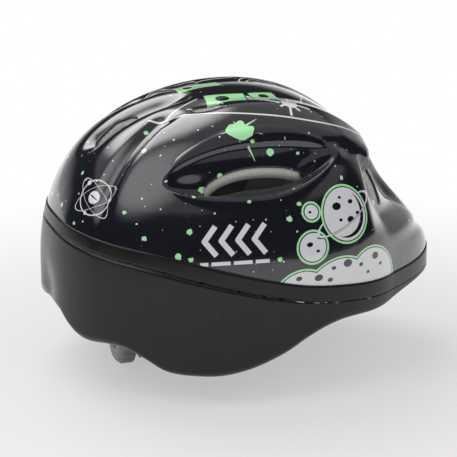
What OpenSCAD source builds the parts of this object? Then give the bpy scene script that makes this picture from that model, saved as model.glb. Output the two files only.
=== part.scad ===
/* [Outside] */
// Length over the shells, front to back
length = 260; // [244:1:276]
// Width over the shells
width = 202; // [190:1:214]
// Height of the crown above the lowest edge
height = 163; // [156:1:172]
// Height of the widest line
waist_height = 44; // [40:1:48]
// How far the brow reaches past the front of the dome
visor_reach = 22; // [16:0.5:26]
// Squareness of the plan outline
plan_power = 2.3; // [2.2:0.05:2.5]

/* [Shells] */
// Wall of the printed upper shell
upper_wall = 1; // [0.7:0.1:1.2]
// Wall of the lower shell
lower_wall = 1.8; // [1.4:0.1:2.4]
// How far the lower shell stands out past the upper one
lower_step = 0.6; // [0.3:0.1:0.8]
// Height of the tape over the joint
tape_height = 11; // [8:0.5:13]
// Thickness of the tape
tape_wall = 0.35; // [0.2:0.05:0.5]
// Gap between neighbouring curved faces
skin_gap = 0.3; // [0.25:0.05:0.4]
// Inward roll of the lower edge
edge_roll = 7; // [5:0.5:9]
// Depth of the hollow between the two bulges at the nape
nape_depth = 3; // [2:0.5:4]

/* [Foam] */
// Width of the head space in the foam
cavity_width = 156; // [152:1:160]
// Length of the head space in the foam
cavity_length = 192; // [186:1:196]
// Height of the top of the head space above the lowest edge
cavity_height = 138; // [134:1:141]
// How far the middle of the head space lies behind the middle of the shells
cavity_y = 10; // [8:0.5:12]
// Height of the foam's lower face above the shell's edge
foam_lift = 5; // [4:0.5:7]
// How far the foam shows inside each vent of the shell
foam_rim = 1.5; // [1:0.1:2]

/* [Ribs and vents] */
// Depth of the groove along the rear of the crown
groove_depth = 6; // [3:0.5:8]
// Width of the slot in that groove
slot_width = 15; // [13:0.5:17]
// Depth of the crease beside each rear rail
crease_depth = 4; // [2:0.5:6]
// Height of the broad rib over each side scoop
rib_rise = 4; // [2:0.5:5]
// Depth of each side scoop
scoop_depth = 11; // [8:0.5:12]
// Height of the hole in each side scoop
scoop_hole = 13; // [12:0.5:15]
// Upward tilt of the hole in each side scoop
scoop_tilt = 20; // [16:1:24]
// Depth of the brow recess beside the front ridge
brow_depth = 7; // [4:0.5:9]
// Width of each brow vent
brow_vent = 13; // [12:0.5:15]
// Width of the small vent beside each rail
pocket_width = 8; // [7.5:0.5:9]

/* [Pads] */
// Thickness of the comfort pads
pad_thick = 6; // [4.5:0.5:7]
// Thickness of the hook patches under the pads
hook_thick = 1; // [0.6:0.1:1.4]

/* [Rear fit system] */
// Diameter of the dial knob
knob_d = 36; // [32:0.5:36]
// Thickness of the dial knob
knob_t = 11; // [10:0.5:12.5]
// Number of grip flutes round the knob
knob_flutes = 18; // [12:1:22]
// Height of the dial axis above the lowest edge
dial_z = -1; // [-2:0.5:1]
// Place of the head side of the housing behind the middle
housing_y = 66; // [64:0.5:68]
// Width of the housing
housing_w = 48; // [47:0.5:52]
// Height of the housing
housing_h = 19.4; // [19:0.2:20.6]
// Wall of the housing
housing_wall = 1.4; // [1.2:0.1:1.6]
// Thickness of the housing's cover
cover_t = 2; // [1.6:0.1:2.4]
// Number of teeth on the pinion
pinion_teeth = 10; // [9:1:10]
// Tooth size: pitch diameter over number of teeth
tooth_module = 1; // [0.95:0.05:1]
// Radius of the dial shaft
shaft_r = 2.9; // [2.6:0.1:3]
// Radial clearance of a running fit
run_clear = 0.08; // [0.04:0.01:0.1]
// Thickness of the racks
rack_t = 3; // [2.6:0.1:3.2]
// Travel of each rack either way
rack_travel = 6; // [5:0.5:6]
// Height of the headband
band_h = 12; // [10:0.5:13]
// Thickness of the headband
band_t = 2; // [1.6:0.1:2.2]
// Radius of the temple pins
pin_r = 2.5; // [2.2:0.1:2.8]
// Height of the temple pins above the lowest edge
temple_z = 52; // [51:1:54]
// Place of the temple pins ahead of the middle
temple_y = 8; // [6:0.5:10]

/* [Straps and buckle] */
// Width of the webbing
web_w = 15; // [13:0.5:15.5]
// Thickness of the webbing
web_t = 1.5; // [1.2:0.1:1.6]
// Height of the lowest run of the folded chin straps
chin_z = 4.5; // [4.5:0.1:5]
// Step between the folded runs of the chin straps
fold_pitch = 4.5; // [4.3:0.1:4.8]
// Length of the buckle socket
socket_l = 34; // [33:0.5:36]
// Width of the buckle
buckle_w = 26; // [25.5:0.5:28]
// Thickness of the buckle
buckle_t = 9; // [8.5:0.5:9]
// Length of the chin pad
chin_pad_l = 24; // [18:1:24]

/* [Hidden] */

BLACK = [0.05, 0.05, 0.07];
DARK = [0.16, 0.16, 0.16];
FOAM = [0.82, 0.82, 0.8];
PAD = [0.1, 0.1, 0.11];
GREY = [0.55, 0.56, 0.58];
SMOKE = [0.25, 0.26, 0.28];
WEB = [0.08, 0.08, 0.09];
STEEL = [0.7, 0.7, 0.72];

half_w = width / 2;
front_r = length / 2 - visor_reach;
rear_r = length / 2;

// Heights of the lower edge and of the joint between the shells, by angle from the front
EDGE = [[0, 37], [24, 35], [37, 33], [49, 30], [64, 30], [73, 26], [81, 20], [88, 13], [96, 7],
        [103, 3], [112, 0], [120, 0], [131, 3], [138, 11], [144, 16.5], [150, 17.5], [157, 16.5],
        [161, 18], [165, 22], [169, 27.5], [173, 28.5], [180, 27]];
JOINT = [[0, 40.5], [24, 37], [42, 38], [55, 40], [64, 42], [81, 46], [96, 52], [110, 59],
         [123, 66], [135, 72], [148, 76], [164, 80], [180, 82]];

function ease(t) = t * t * (3 - 2 * t);
function fade(u, lo, hi) = ease(max(0, min(1, (u - lo) / (hi - lo))));
function bump(u, w) = exp(-pow(u / w, 2));

// Smooth height at an angle, read along a list of points
function slope_at(L, i) =
    i == 0 || i == len(L) - 1 ? 0 : (L[i + 1][1] - L[i - 1][1]) / (L[i + 1][0] - L[i - 1][0]);
function along(L, u, i = 0) =
    u >= L[i + 1][0] && i < len(L) - 2 ? along(L, u, i + 1) :
    let (d = L[i + 1][0] - L[i][0], t = max(0, min(1, (u - L[i][0]) / d)))
    let (a = slope_at(L, i) * d, b = slope_at(L, i + 1) * d)
    (2 * pow(t, 3) - 3 * t * t + 1) * L[i][1] + (pow(t, 3) - 2 * t * t + t) * a
    + (3 * t * t - 2 * pow(t, 3)) * L[i + 1][1] + (pow(t, 3) - t * t) * b;
function turned(a) = abs(((a + 180) % 360) - 180);

// The smooth dome: angle 0 is the front, 90 the wearer's left, 180 the rear
function dome_power(a) = 2.1 + 0.2 * (1 - cos(a));
function taper(a, z, inset) =
    let (u = (z - waist_height) / (height - inset - waist_height))
    u > 0 ? pow(1 - pow(min(1, u), dome_power(a)), 1 / dome_power(a)) : 1 - 0.05 * u * u;
function plan_r(a, inset) =
    let (c = -cos(a), s = sin(a))
    let (deep = (c < 0 ? front_r : rear_r) - inset)
    pow(pow(abs(c) / deep, plan_power) + pow(abs(s) / (half_w - inset), plan_power), -1 / plan_power);
function dome(a, z, inset) =
    let (r = plan_r(a, inset) * taper(a, z, inset))
    [r * sin(a), -r * cos(a), z];
function outward(p) =
    let (v = [p[0], 0.6 * p[1], 0.75 * max(0, p[2] - waist_height)])
    norm(v) > 0 ? v / norm(v) : [0, 0, 1];

// Relief over the dome: up is the height above the widest line, roll the angle down from the crown
function crease_x(y) = 29 + 0.47 * max(0, y - 62);
function groove(ax, y) = -groove_depth * bump(ax, 9) * fade(y, 22, 55) * (1 - fade(y, 94, 108));
function crease(ax, y) =
    -crease_depth * bump(ax - crease_x(y), 6) * fade(y, 42, 66) * (1 - fade(y, 100, 114));
function rib(y, roll) =
    rib_rise * fade(roll, 10, 20) * (1 - fade(roll, 30, 37)) * fade(-y, -80, 10) * (1 - fade(-y, 73, 84));
function scoop_mid(y) = 43.7 - 0.0016 * pow(max(0, 12 - y), 2);
function scoop_half(y) = 9 * pow(max(0, 1 - pow((y - 11) / 58, 2)), y > 0 ? 0.5 : 0.7);
function scoop(y, roll) =
    let (h = scoop_half(y), u = h > 0 ? (roll - scoop_mid(y)) / h : 2)
    -scoop_depth * fade(u, -1, 0.6) * (1 - fade(u, 0.8, 1.25)) * fade(h, 0, 7);
function brow(ax, y, up, roll) =
    let (back = roll < 36 ? 74 : 64)
    -brow_depth * fade(-y, back, back + 9) * fade(ax, 6, 20) * (1 - fade(ax, 62, 82))
    * fade(up, 26, 46) * (1 - fade(up, 88, 100));
function pocket(ax, y) = -3 * bump(ax - 30, 5) * bump(y - 29, 9);
function nape(ax, y, up) =
    -nape_depth * bump(ax, 16) * fade(y, 80, 110) * (1 - fade(up, -6, 24));
function relief(p) =
    let (ax = abs(p[0]), y = p[1], up = p[2] - waist_height)
    let (roll = atan2(ax, up - 8))
    groove(ax, y) + crease(ax, y) + rib(y, roll) + scoop(y, roll) + brow(ax, y, up, roll)
    + pocket(ax, y) + nape(ax, y, up);
function visor(a, up) =
    visor_reach * (1 - fade(turned(a), 8, 42)) * (1 - fade(up, 6, 60) - 0.11 * bump(up - 22, 4));

// Point on the shell, at an angle and height, a distance inside the outer face
function skin(a, z, inset) =
    let (drop = inset * max(0, z - waist_height) / (height - waist_height))
    let (p = dome(a, z, 0))
    dome(a, z - drop, inset) + relief(p) * outward(p) + [0, -visor(a, z - waist_height), 0];

// Closed solids between grids of points
function ring_faces(n, m, flip, base) =
    [for (j = [0:m - 1], i = [0:n - 1], k = [0:1])
        let (a = base + j * n + i, b = base + j * n + (i + 1) % n)
        let (f = k == 0 ? [a, b, b + n] : [a, b + n, a + n])
        flip ? [f[2], f[1], f[0]] : f];
function flat_list(rings) = [for (r = rings) for (p = r) p];
module capped_shell(outer, inner, top_out, top_in) {
    n = len(outer[0]);
    m = len(outer) - 1;
    half = n * (m + 1);
    points = concat(flat_list(outer), flat_list(inner), [top_out, top_in]);
    rim = [for (i = [0:n - 1], k = [0:1])
        let (a = m * n + i, b = m * n + (i + 1) % n)
        k == 0 ? [a, b, b + half] : [a, b + half, a + half]];
    cap = [for (i = [0:n - 1], k = [0:1])
        k == 0 ? [2 * half, (i + 1) % n, i] : [2 * half + 1, half + i, half + (i + 1) % n]];
    polyhedron(points, concat(ring_faces(n, m, false, 0), ring_faces(n, m, true, half), rim, cap));
}
module filled_dome(outer, top, middle) {
    n = len(outer[0]);
    m = len(outer) - 1;
    last = n * (m + 1);
    caps = [for (i = [0:n - 1], k = [0:1])
        k == 0 ? [last, (i + 1) % n, i] : [last + 1, m * n + i, m * n + (i + 1) % n]];
    polyhedron(concat(flat_list(outer), [top, middle]), concat(ring_faces(n, m, false, 0), caps));
}
module tube_shell(outer, inner) {
    n = len(outer[0]);
    m = len(outer) - 1;
    half = n * (m + 1);
    rims = [for (i = [0:n - 1], k = [0:1])
        let (a = m * n + i, b = m * n + (i + 1) % n)
        k == 0 ? [a, b, b + half] : [a, b + half, a + half]];
    tops = [for (i = [0:n - 1], k = [0:1])
        let (a = i, b = (i + 1) % n)
        k == 0 ? [b, a, a + half] : [b, a + half, b + half]];
    polyhedron(concat(flat_list(outer), flat_list(inner)),
               concat(ring_faces(n, m, false, 0), ring_faces(n, m, true, half), rims, tops));
}
// Slab between two open grids; across by along points out of the back grid
module slab(back, front) {
    n = len(back[0]);
    m = len(back) - 1;
    half = n * (m + 1);
    broad = [for (j = [0:m - 1], i = [0:n - 2], k = [0:3])
        let (a = j * n + i, b = a + 1, c = a + n, d = c + 1)
        [[a, d, b], [a, c, d], [a + half, b + half, d + half], [a + half, d + half, c + half]][k]];
    ends = [for (i = [0:n - 2], k = [0:3])
        let (a = i, b = i + 1, c = m * n + i, d = c + 1)
        [[a, b, b + half], [a, b + half, a + half], [d, c, c + half], [d, c + half, d + half]][k]];
    sides = [for (j = [0:m - 1], k = [0:3])
        let (a = j * n, c = a + n, b = a + n - 1, d = b + n)
        [[c, a, a + half], [c, a + half, c + half], [b, d, d + half], [b, d + half, b + half]][k]];
    polyhedron(concat(flat_list(back), flat_list(front)), concat(broad, ends, sides));
}

// Rings of the dome, from the crown down to the joint and on to the lower edge
ring_n = 80;
upper_rows = 20;
angles = [for (i = [0:ring_n - 1]) i * 360 / ring_n];
joint_line = [for (a = angles) along(JOINT, turned(a))];
edge_line = [for (a = angles) along(EDGE, turned(a))];
function raised(up) = [for (z = joint_line) z + up];
function dome_ring(heights, inset) = [for (i = [0:ring_n - 1]) skin(angles[i], heights[i], inset)];
function dome_rows(low, inset) =
    [for (j = [1:upper_rows]) dome_ring([for (z = low) z + (height - z) * cos(90 * j / upper_rows)], inset)];
function crown(inset) = [0, 0, height - inset + relief([0, 0, height])];

// Lower ring: v runs from the edge plus a lift, 0, to the joint, 1
function low_ring(v, lift, inset) =
    [for (i = [0:ring_n - 1])
        let (span = joint_line[i] - edge_line[i], start = min(lift, 0.3 * span))
        let (up = start + (span - start) * v, near = min(1, up / edge_roll))
        let (curl = edge_roll * (1 - sqrt(1 - pow(1 - near, 2))) * fade(span, 4, 20))
        skin(angles[i], edge_line[i] + up, inset + curl)];
low_steps = [1, 0.8, 0.6, 0.42, 0.28, 0.17, 0.09, 0.03, 0];

module upper_shell() {
    low = raised(skin_gap);
    color(BLACK)
        difference() {
            capped_shell(dome_rows(low, 0), dome_rows(low, upper_wall), crown(0), crown(upper_wall));
            vents(0);
        }
}
module lower_shell() {
    color(DARK)
        tube_shell([for (v = low_steps) low_ring(v, 0, -lower_step)],
                   [for (v = low_steps) low_ring(v, lower_wall, lower_wall - lower_step)]);
}
tape_gap = 0.2;
function tape_ring(v, inset) =
    dome_ring([for (i = [0:ring_n - 1])
        joint_line[i] + skin_gap + v * tape_height * (1 - 0.28 * fade(turned(angles[i]), 110, 180))], inset);
module seam_tape() {
    color(DARK)
        tube_shell([for (v = [1, 0.5, 0]) tape_ring(v, -tape_gap - tape_wall)],
                   [for (v = [1, 0.5, 0]) tape_ring(v, -tape_gap)]);
}

// Vents, cut through the shell and, smaller by the rim, through the foam
module slot_cut(points, slim) {
    for (i = [0:len(points) - 2])
        hull()
            for (p = [points[i], points[i + 1]])
                translate([p[0], p[1]])
                    cylinder(r = p[2] - slim, h = 140, $fn = 24);
}
scoop_r = scoop_hole / 2;
scoop_x = half_w - 23;
scoop_z = waist_height + 80;
scoop_reach = 45;
brow_z = waist_height + 60;
module vents(slim) {
    translate([0, 0, waist_height + 30])
        slot_cut([[0, 62, slot_width / 3], [0, 76, slot_width / 2], [0, 90, slot_width / 3]], slim);
    for (side = [0, 1])
        mirror([side, 0, 0]) {
            // scoop holes point out and up
            translate([scoop_x, 0, scoop_z])
                rotate([0, 90 - scoop_tilt, 0])
                    translate([0, 0, -scoop_reach])
                        slot_cut([[5.5, 42, scoop_r - 3.5], [2, 28, scoop_r - 0.7], [0, 12, scoop_r],
                                  [0, -4, scoop_r - 1], [-1, -16, scoop_r - 3.5]], slim);
            // brow vents point straight ahead
            translate([0, -15, brow_z])
                rotate([90, 0, 0])
                    slot_cut([[33, 10, brow_vent / 2 - 2], [42, 0, brow_vent / 2],
                              [50, -9, brow_vent / 2 - 2]], slim);
            translate([30, 0, waist_height + 20])
                slot_cut([[0, 23, pocket_width / 2], [0, 35, pocket_width / 2]], slim);
        }
}

// Head space: an upright elliptic tube under half an ellipsoid
module head_space() {
    rise = cavity_height - waist_height;
    arch = [for (b = [0:7.5:90]) [cavity_width / 2 * cos(b), rise * sin(b)]];
    translate([0, cavity_y, waist_height])
        scale([1, cavity_length / cavity_width, 1])
            rotate_extrude($fn = 72)
                polygon(concat([[0, -2 * waist_height], [cavity_width / 2, -2 * waist_height]], arch));
}
foam_inset = lower_wall - lower_step + skin_gap;
foam_steps = [0.75, 0.5, 0.25, 0];
module foam_liner() {
    body = concat(dome_rows(raised(0), foam_inset),
                  [for (v = foam_steps) low_ring(v, foam_lift, foam_inset)]);
    color(FOAM)
        difference() {
            filled_dome(body, crown(foam_inset), [0, cavity_y, 20]);
            head_space();
            vents(foam_rim);
            for (side = [0, 1])
                mirror([side, 0, 0]) {
                    along_x(band_x, -temple_y, temple_z)
                        cylinder(r = pin_r + skin_gap, h = pin_reach + skin_gap, $fn = 24);
                    for (a = anchor_angles)
                        at_wall(a, anchor_z)
                            translate([0, 0, -1])
                                cylinder(r = stem_r + skin_gap, h = stem_reach + 1, $fn = 24);
                }
        }
}

// Comfort pads and the hook patches under them, laid along the wall of the head space
function wall(a, lat, inset) =
    [(cavity_width / 2 - inset) * sin(a) * cos(lat),
     cavity_y - (cavity_length / 2 - inset) * cos(a) * cos(lat),
     waist_height + (cavity_height - waist_height - inset) * sin(lat)];
function roof(x, y, inset) =
    let (u = x / (cavity_width / 2 - inset), v = (y - cavity_y) / (cavity_length / 2 - inset))
    [x, y, waist_height + (cavity_height - waist_height - inset) * sqrt(1 - u * u - v * v)];
function pillow(u, v) = 0.5 + 0.5 * sqrt((1 - pow(u, 4)) * (1 - pow(v, 4)));
steps = [-1, -0.8, -0.45, 0, 0.45, 0.8, 1];
coarse = [-1, -0.4, 0.4, 1];
// area is [low angle, high angle, low latitude, high latitude], with rounded corners
function wall_grid(area, inset, puff, fine = steps) =
    [for (v = fine) [for (u = fine)
        let (s = u * sqrt(1 - 0.3 * v * v), t = v * sqrt(1 - 0.3 * u * u))
        wall((area[0] + area[1] + s * (area[1] - area[0])) / 2,
             (area[2] + area[3] + t * (area[3] - area[2])) / 2, inset + puff * pillow(u, v))]];
function roof_grid(area, inset, puff, fine = steps) =
    [for (v = fine) [for (u = fine)
        let (s = u * sqrt(1 - 0.3 * v * v), t = v * sqrt(1 - 0.3 * u * u))
        roof((area[0] + area[1] + s * (area[1] - area[0])) / 2,
             (area[2] + area[3] + t * (area[3] - area[2])) / 2, inset + puff * pillow(u, v))]];
pad_back = 2 * skin_gap + hook_thick;
brow_area = [-44, 44, 6, 24];
crown_area = [-23, 23, -38, 16];
side_area = [63, 117, 14, 35];
rear_area = [134, 162, 14, 33];
function opposite(area) = [-area[1], -area[0], area[2], area[3]];
module wall_pad(area) {
    color(PAD)
        slab(wall_grid(area, pad_back, 0), wall_grid(area, pad_back, pad_thick));
}
module brow_pad() {
    wall_pad(brow_area);
}
module crown_pad() {
    color(PAD)
        slab(roof_grid(crown_area, pad_back, 0), roof_grid(crown_area, pad_back, pad_thick));
}
module side_pad_left() {
    wall_pad(side_area);
}
module side_pad_right() {
    wall_pad(opposite(side_area));
}
module rear_pad_left() {
    wall_pad(rear_area);
}
module rear_pad_right() {
    wall_pad(opposite(rear_area));
}
function patch_on(a, lat) = [a - 5, a + 5, lat - 4, lat + 4];
module hook_patches() {
    spots = [[-26, 15], [26, 15], [78, 25], [102, 25], [-78, 25], [-102, 25], [148, 23], [-148, 23]];
    color(DARK) {
        for (s = spots)
            slab(wall_grid(patch_on(s[0], s[1]), skin_gap, 0, coarse),
                 wall_grid(patch_on(s[0], s[1]), skin_gap + hook_thick, 0, coarse));
        for (y = [-26, 4])
            slab(roof_grid([-9, 9, y - 7, y + 7], skin_gap, 0, coarse),
                 roof_grid([-9, 9, y - 7, y + 7], skin_gap + hook_thick, 0, coarse));
    }
}

// Places on the upright part of the wall; local Z points out of the head space
module at_wall(a, z) {
    p = wall(a, 0, 0);
    out = [sin(a) * cavity_length, -cos(a) * cavity_width];
    translate([p[0], p[1], z])
        rotate([0, 0, atan2(out[1], out[0])])
            rotate([0, 90, 0])
                children();
}
module along_x(x, y, z) {
    translate([x, y, z])
        rotate([0, 90, 0])
            children();
}
module along_y(y, x = 0, z = 0) {
    translate([x, y, dial_z + z])
        rotate([-90, 0, 0])
            children();
}

// Headband: an arm each side, from the temple pin down to the rack
temple_angle = acos((cavity_y + temple_y) / (cavity_length / 2));
temple_lat = asin((temple_z - waist_height) / (cavity_height - waist_height));
eye_r = 7;
eye_relief = 1.7;
band_x = wall(temple_angle, temple_lat, 0)[0] - eye_relief - band_t / 2;
pin_reach = 13;
pin_head = 1.5;
rack_y = housing_y + housing_wall + skin_gap;
arm_y = rack_y - skin_gap - band_t / 2;
arm_end = housing_w / 2 + 4;
arm_route = [[band_x, -temple_y, temple_z], [band_x - 1.5, 34, 34], [62, arm_y, dial_z],
             [arm_end + 13, arm_y, dial_z]];
function bezier(P, t) =
    pow(1 - t, 3) * P[0] + 3 * t * pow(1 - t, 2) * P[1] + 3 * t * t * (1 - t) * P[2] + pow(t, 3) * P[3];
arm_line = concat([for (t = [0:1 / 14:1]) bezier(arm_route, t)], [[arm_end, arm_y, dial_z]]);
function unit(v) = v / norm(v);
function heading(P, i) = unit(P[min(len(P) - 1, i + 1)] - P[max(0, i - 1)]);
function strip(P, w, off) =
    [for (i = [0:len(P) - 1])
        let (t = heading(P, i), up = unit([0, 0, 1] - t[2] * t), out = cross(up, t))
        [for (e = [-1, 1]) P[i] + e * w / 2 * up + off * out]];
module headband() {
    color(SMOKE)
        difference() {
            union() {
                slab(strip(arm_line, band_h, band_t / 2), strip(arm_line, band_h, -band_t / 2));
                along_x(band_x - band_t / 2, -temple_y, temple_z)
                    cylinder(r = eye_r, h = band_t, $fn = 48);
            }
            along_x(band_x - band_t, -temple_y, temple_z)
                cylinder(r = pin_r + run_clear, h = 2 * band_t, $fn = 48);
        }
}
module headband_left() {
    headband();
}
module headband_right() {
    mirror([1, 0, 0])
        headband();
}
module temple_pins() {
    color(SMOKE)
        for (side = [0, 1])
            mirror([side, 0, 0]) {
                along_x(band_x - band_t / 2 - skin_gap, -temple_y, temple_z)
                    cylinder(r = pin_r, h = pin_reach, $fn = 48);
                along_x(band_x - band_t / 2 - skin_gap - pin_head, -temple_y, temple_z)
                    cylinder(r = 2 * pin_r - 0.5, h = pin_head, $fn = 48);
            }
}

// Dial: housing, pinion between two racks, knob with its screw
cover_y = rack_y + rack_t + skin_gap;
rear_face = cover_y + cover_t;
inner_h = housing_h / 2 - housing_wall;
inner_w = housing_w / 2 - housing_wall;
post_r = 2.2;
post_x = inner_w - post_r - 0.3;
corner_cut = 6;
screw_r = 1;
pitch_r = pinion_teeth * tooth_module / 2;
tip = 0.85 * tooth_module;
root = 1.15 * tooth_module;
backlash = 0.4;
rack_tip = 0.55 * tooth_module;
rack_top = inner_h - 2 * skin_gap;
module block(low, high) {
    translate(low)
        cube(high - low);
}
// Outline with the two corners cut that no rack passes
module case_outline(w, h, cut) {
    polygon([[-w, -h], [-w, h - cut], [cut - w, h], [w, h], [w, cut - h], [w - cut, -h]]);
}
module rack_slot() {
    block([-housing_w / 2 - 1, rack_y - skin_gap, dial_z + pitch_r - rack_tip - skin_gap],
          [1 - inner_w, cover_y + 1, dial_z + rack_top + skin_gap]);
}
module housing_front() {
    color(SMOKE)
        difference() {
            union() {
                difference() {
                    along_y(housing_y)
                        linear_extrude(cover_y - housing_y)
                            case_outline(housing_w / 2, housing_h / 2, corner_cut);
                    along_y(housing_y + housing_wall)
                        linear_extrude(cover_y)
                            case_outline(inner_w, inner_h, corner_cut - housing_wall / 2);
                }
                for (s = [-1, 1])
                    along_y(housing_y, s * post_x)
                        cylinder(r = post_r, h = cover_y - housing_y, $fn = 36);
            }
            rack_slot();
            translate([0, 0, 2 * dial_z])
                rotate([0, 180, 0])
                    rack_slot();
            along_y(housing_y - 1)
                cylinder(r = shaft_r + run_clear, h = housing_wall + 2, $fn = 48);
            for (s = [-1, 1])
                along_y(housing_y + housing_wall, s * post_x)
                    cylinder(r = screw_r + run_clear, h = cover_y, $fn = 36);
        }
}
module housing_rear() {
    color(SMOKE)
        difference() {
            along_y(cover_y)
                linear_extrude(cover_t)
                    case_outline(housing_w / 2, housing_h / 2, corner_cut);
            along_y(cover_y - 1)
                cylinder(r = shaft_r + run_clear, h = cover_t + 2, $fn = 48);
            for (s = [-1, 1])
                along_y(cover_y - 1, s * post_x)
                    cylinder(r = screw_r + run_clear, h = cover_t + 2, $fn = 36);
        }
}
module housing_screws() {
    color(STEEL)
        for (s = [-1, 1]) {
            along_y(housing_y + housing_wall + 1, s * post_x)
                cylinder(r = screw_r, h = rear_face - housing_y - housing_wall - 1, $fn = 36);
            along_y(rear_face, s * post_x)
                cylinder(r = 2 * screw_r, h = 0.7, $fn = 36);
        }
}
// Involute flanks, at the pitch point half a tooth thick less the backlash
press_angle = 20;
base_r = pitch_r * cos(press_angle);
function involute(r) =
    let (b = acos(min(1, base_r / r)))
    tan(b) * 180 / PI - b;
tooth_half = (PI * tooth_module - backlash) / 4;
function flank(r) = tooth_half / pitch_r * 180 / PI + involute(pitch_r) - involute(r);
flank_r = [for (k = [0:5]) base_r + (pitch_r + tip - base_r) * k / 5];
module gear_outline() {
    polygon([for (i = [0:pinion_teeth - 1])
        let (mid = (i + 0.5) * 360 / pinion_teeth + 90)
        for (p = concat([[pitch_r - root, -flank(base_r)]], [for (r = flank_r) [r, -flank(r)]],
                        [for (k = [5:-1:0]) [flank_r[k], flank(flank_r[k])]],
                        [[pitch_r - root, flank(base_r)]]))
            p[0] * [cos(mid + p[1]), sin(mid + p[1])]]);
}
knob_y = rear_face + 1.6;
module pinion() {
    color(GREY)
        difference() {
            union() {
                along_y(rack_y)
                    linear_extrude(rack_t)
                        gear_outline();
                along_y(housing_y + 0.3)
                    cylinder(r = shaft_r, h = knob_y + knob_t - 3.5 - housing_y, $fn = 48);
            }
            along_y(knob_y)
                cylinder(r = screw_r + 0.2 + run_clear, h = knob_t, $fn = 36);
        }
}
// Rack: teeth along an edge, and a plate that laps over the arm of the headband
rack_reach = 11;
plate_start = arm_end + 2.5;
plate_end = plate_start + 11;
tooth_pitch = PI * tooth_module;
slant = tan(press_angle);
module rack() {
    low = pitch_r + root;
    teeth = floor((rack_reach - 2) / tooth_pitch);
    color(GREY)
        translate([0, rack_y + rack_t, dial_z])
            rotate([90, 0, 0])
                linear_extrude(rack_t)
                    union() {
                        polygon([[rack_reach, low], [-plate_start, low], [-plate_start, -4],
                                 [2 - plate_end, -4], [-plate_end, -2], [-plate_end, rack_top - 2],
                                 [2 - plate_end, rack_top], [rack_reach, rack_top]]);
                        for (i = [-teeth:teeth])
                            translate([i * tooth_pitch, 0])
                                polygon([[-tooth_half - root * slant, low + 0.01],
                                         [-tooth_half + rack_tip * slant, pitch_r - rack_tip],
                                         [tooth_half - rack_tip * slant, pitch_r - rack_tip],
                                         [tooth_half + root * slant, low + 0.01]]);
                    }
}
module rack_right() {
    rack();
}
module rack_left() {
    translate([0, 0, 2 * dial_z])
        rotate([0, 180, 0])
            rack();
}
knob_r = knob_d / 2;
module dial_knob() {
    color(GREY)
        along_y(knob_y)
            difference() {
                rotate_extrude($fn = 72)
                    polygon([[0, 0.4], [5.5, 0.4], [5.5, 4.5], [knob_r - 3.5, 4.5], [knob_r - 3.5, 0],
                             [knob_r - 0.6, 0], [knob_r, 0.6], [knob_r, knob_t - 3],
                             [knob_r - 2, knob_t - 0.6], [knob_r - 3, knob_t], [8, knob_t],
                             [7, knob_t - 1], [0, knob_t - 1]]);
                translate([0, 0, -1])
                    cylinder(r = shaft_r + run_clear, h = knob_t - 2, $fn = 48);
                cylinder(r = screw_r + 0.2 + run_clear, h = knob_t, $fn = 36);
                translate([0, 0, knob_t - 2.4])
                    cylinder(r = 3.4, h = 3, $fn = 36);
                for (i = [0:knob_flutes - 1])
                    rotate([0, 0, i * 360 / knob_flutes])
                        translate([knob_r + 1, 0, -1])
                            cylinder(r = 2, h = knob_t + 2, $fn = 20);
            }
}
module dial_screw() {
    color(STEEL)
        along_y(knob_y)
            difference() {
                union() {
                    translate([0, 0, 1])
                        cylinder(r = screw_r + 0.2, h = knob_t - 3.4, $fn = 36);
                    translate([0, 0, knob_t - 2.4])
                        cylinder(r = 3, h = 1.4, $fn = 36);
                }
                for (turn = [0, 90])
                    rotate([0, 0, turn])
                        translate([-2, -0.3, knob_t - 1.7])
                            cube([4, 0.6, 1]);
            }
}
module click_ring() {
    ring_out = knob_r - 5;
    color(STEEL)
        along_y(rear_face)
            difference() {
                union() {
                    cylinder(r = ring_out, h = 3.4, $fn = 60);
                    for (i = [0:11])
                        rotate([0, 0, i * 30])
                            translate([ring_out, 0, 0])
                                cylinder(r = 0.7, h = 3.4, $fn = 16);
                }
                translate([0, 0, -1])
                    cylinder(r = ring_out - 2.2, h = 6, $fn = 60);
            }
}
// Nape pad on the head side of the housing
pad_w = housing_w - 4;
pad_h = housing_h - 2;
module nape_pad() {
    color(PAD)
        slab([for (v = steps) [for (u = steps)
                [-u * pad_w / 2 * sqrt(1 - 0.3 * v * v), housing_y - skin_gap,
                 dial_z + v * pad_h / 2 * sqrt(1 - 0.3 * u * u)]]],
             [for (v = steps) [for (u = steps)
                [-u * pad_w / 2 * sqrt(1 - 0.3 * v * v), housing_y - skin_gap - pad_thick * pillow(u, v),
                 dial_z + v * pad_h / 2 * sqrt(1 - 0.3 * u * u)]]]);
}

// Harness: straps riveted to the wall of the head space meet at a slider on each side
anchor_angles = [48, 132];
anchor_z = 41;
stem_r = 2;
stem_reach = 10;
slider_z = chin_z + 2 * fold_pitch;
slider_w = 26;
slider_wall = 1.3;
slider_gap = 1.2;
slider_deep = 11;
slider_h = web_w + 2 * slider_wall + 1;
strap_low = slider_gap + slider_wall + skin_gap;
strap_gap = 1.6 * skin_gap;
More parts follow.
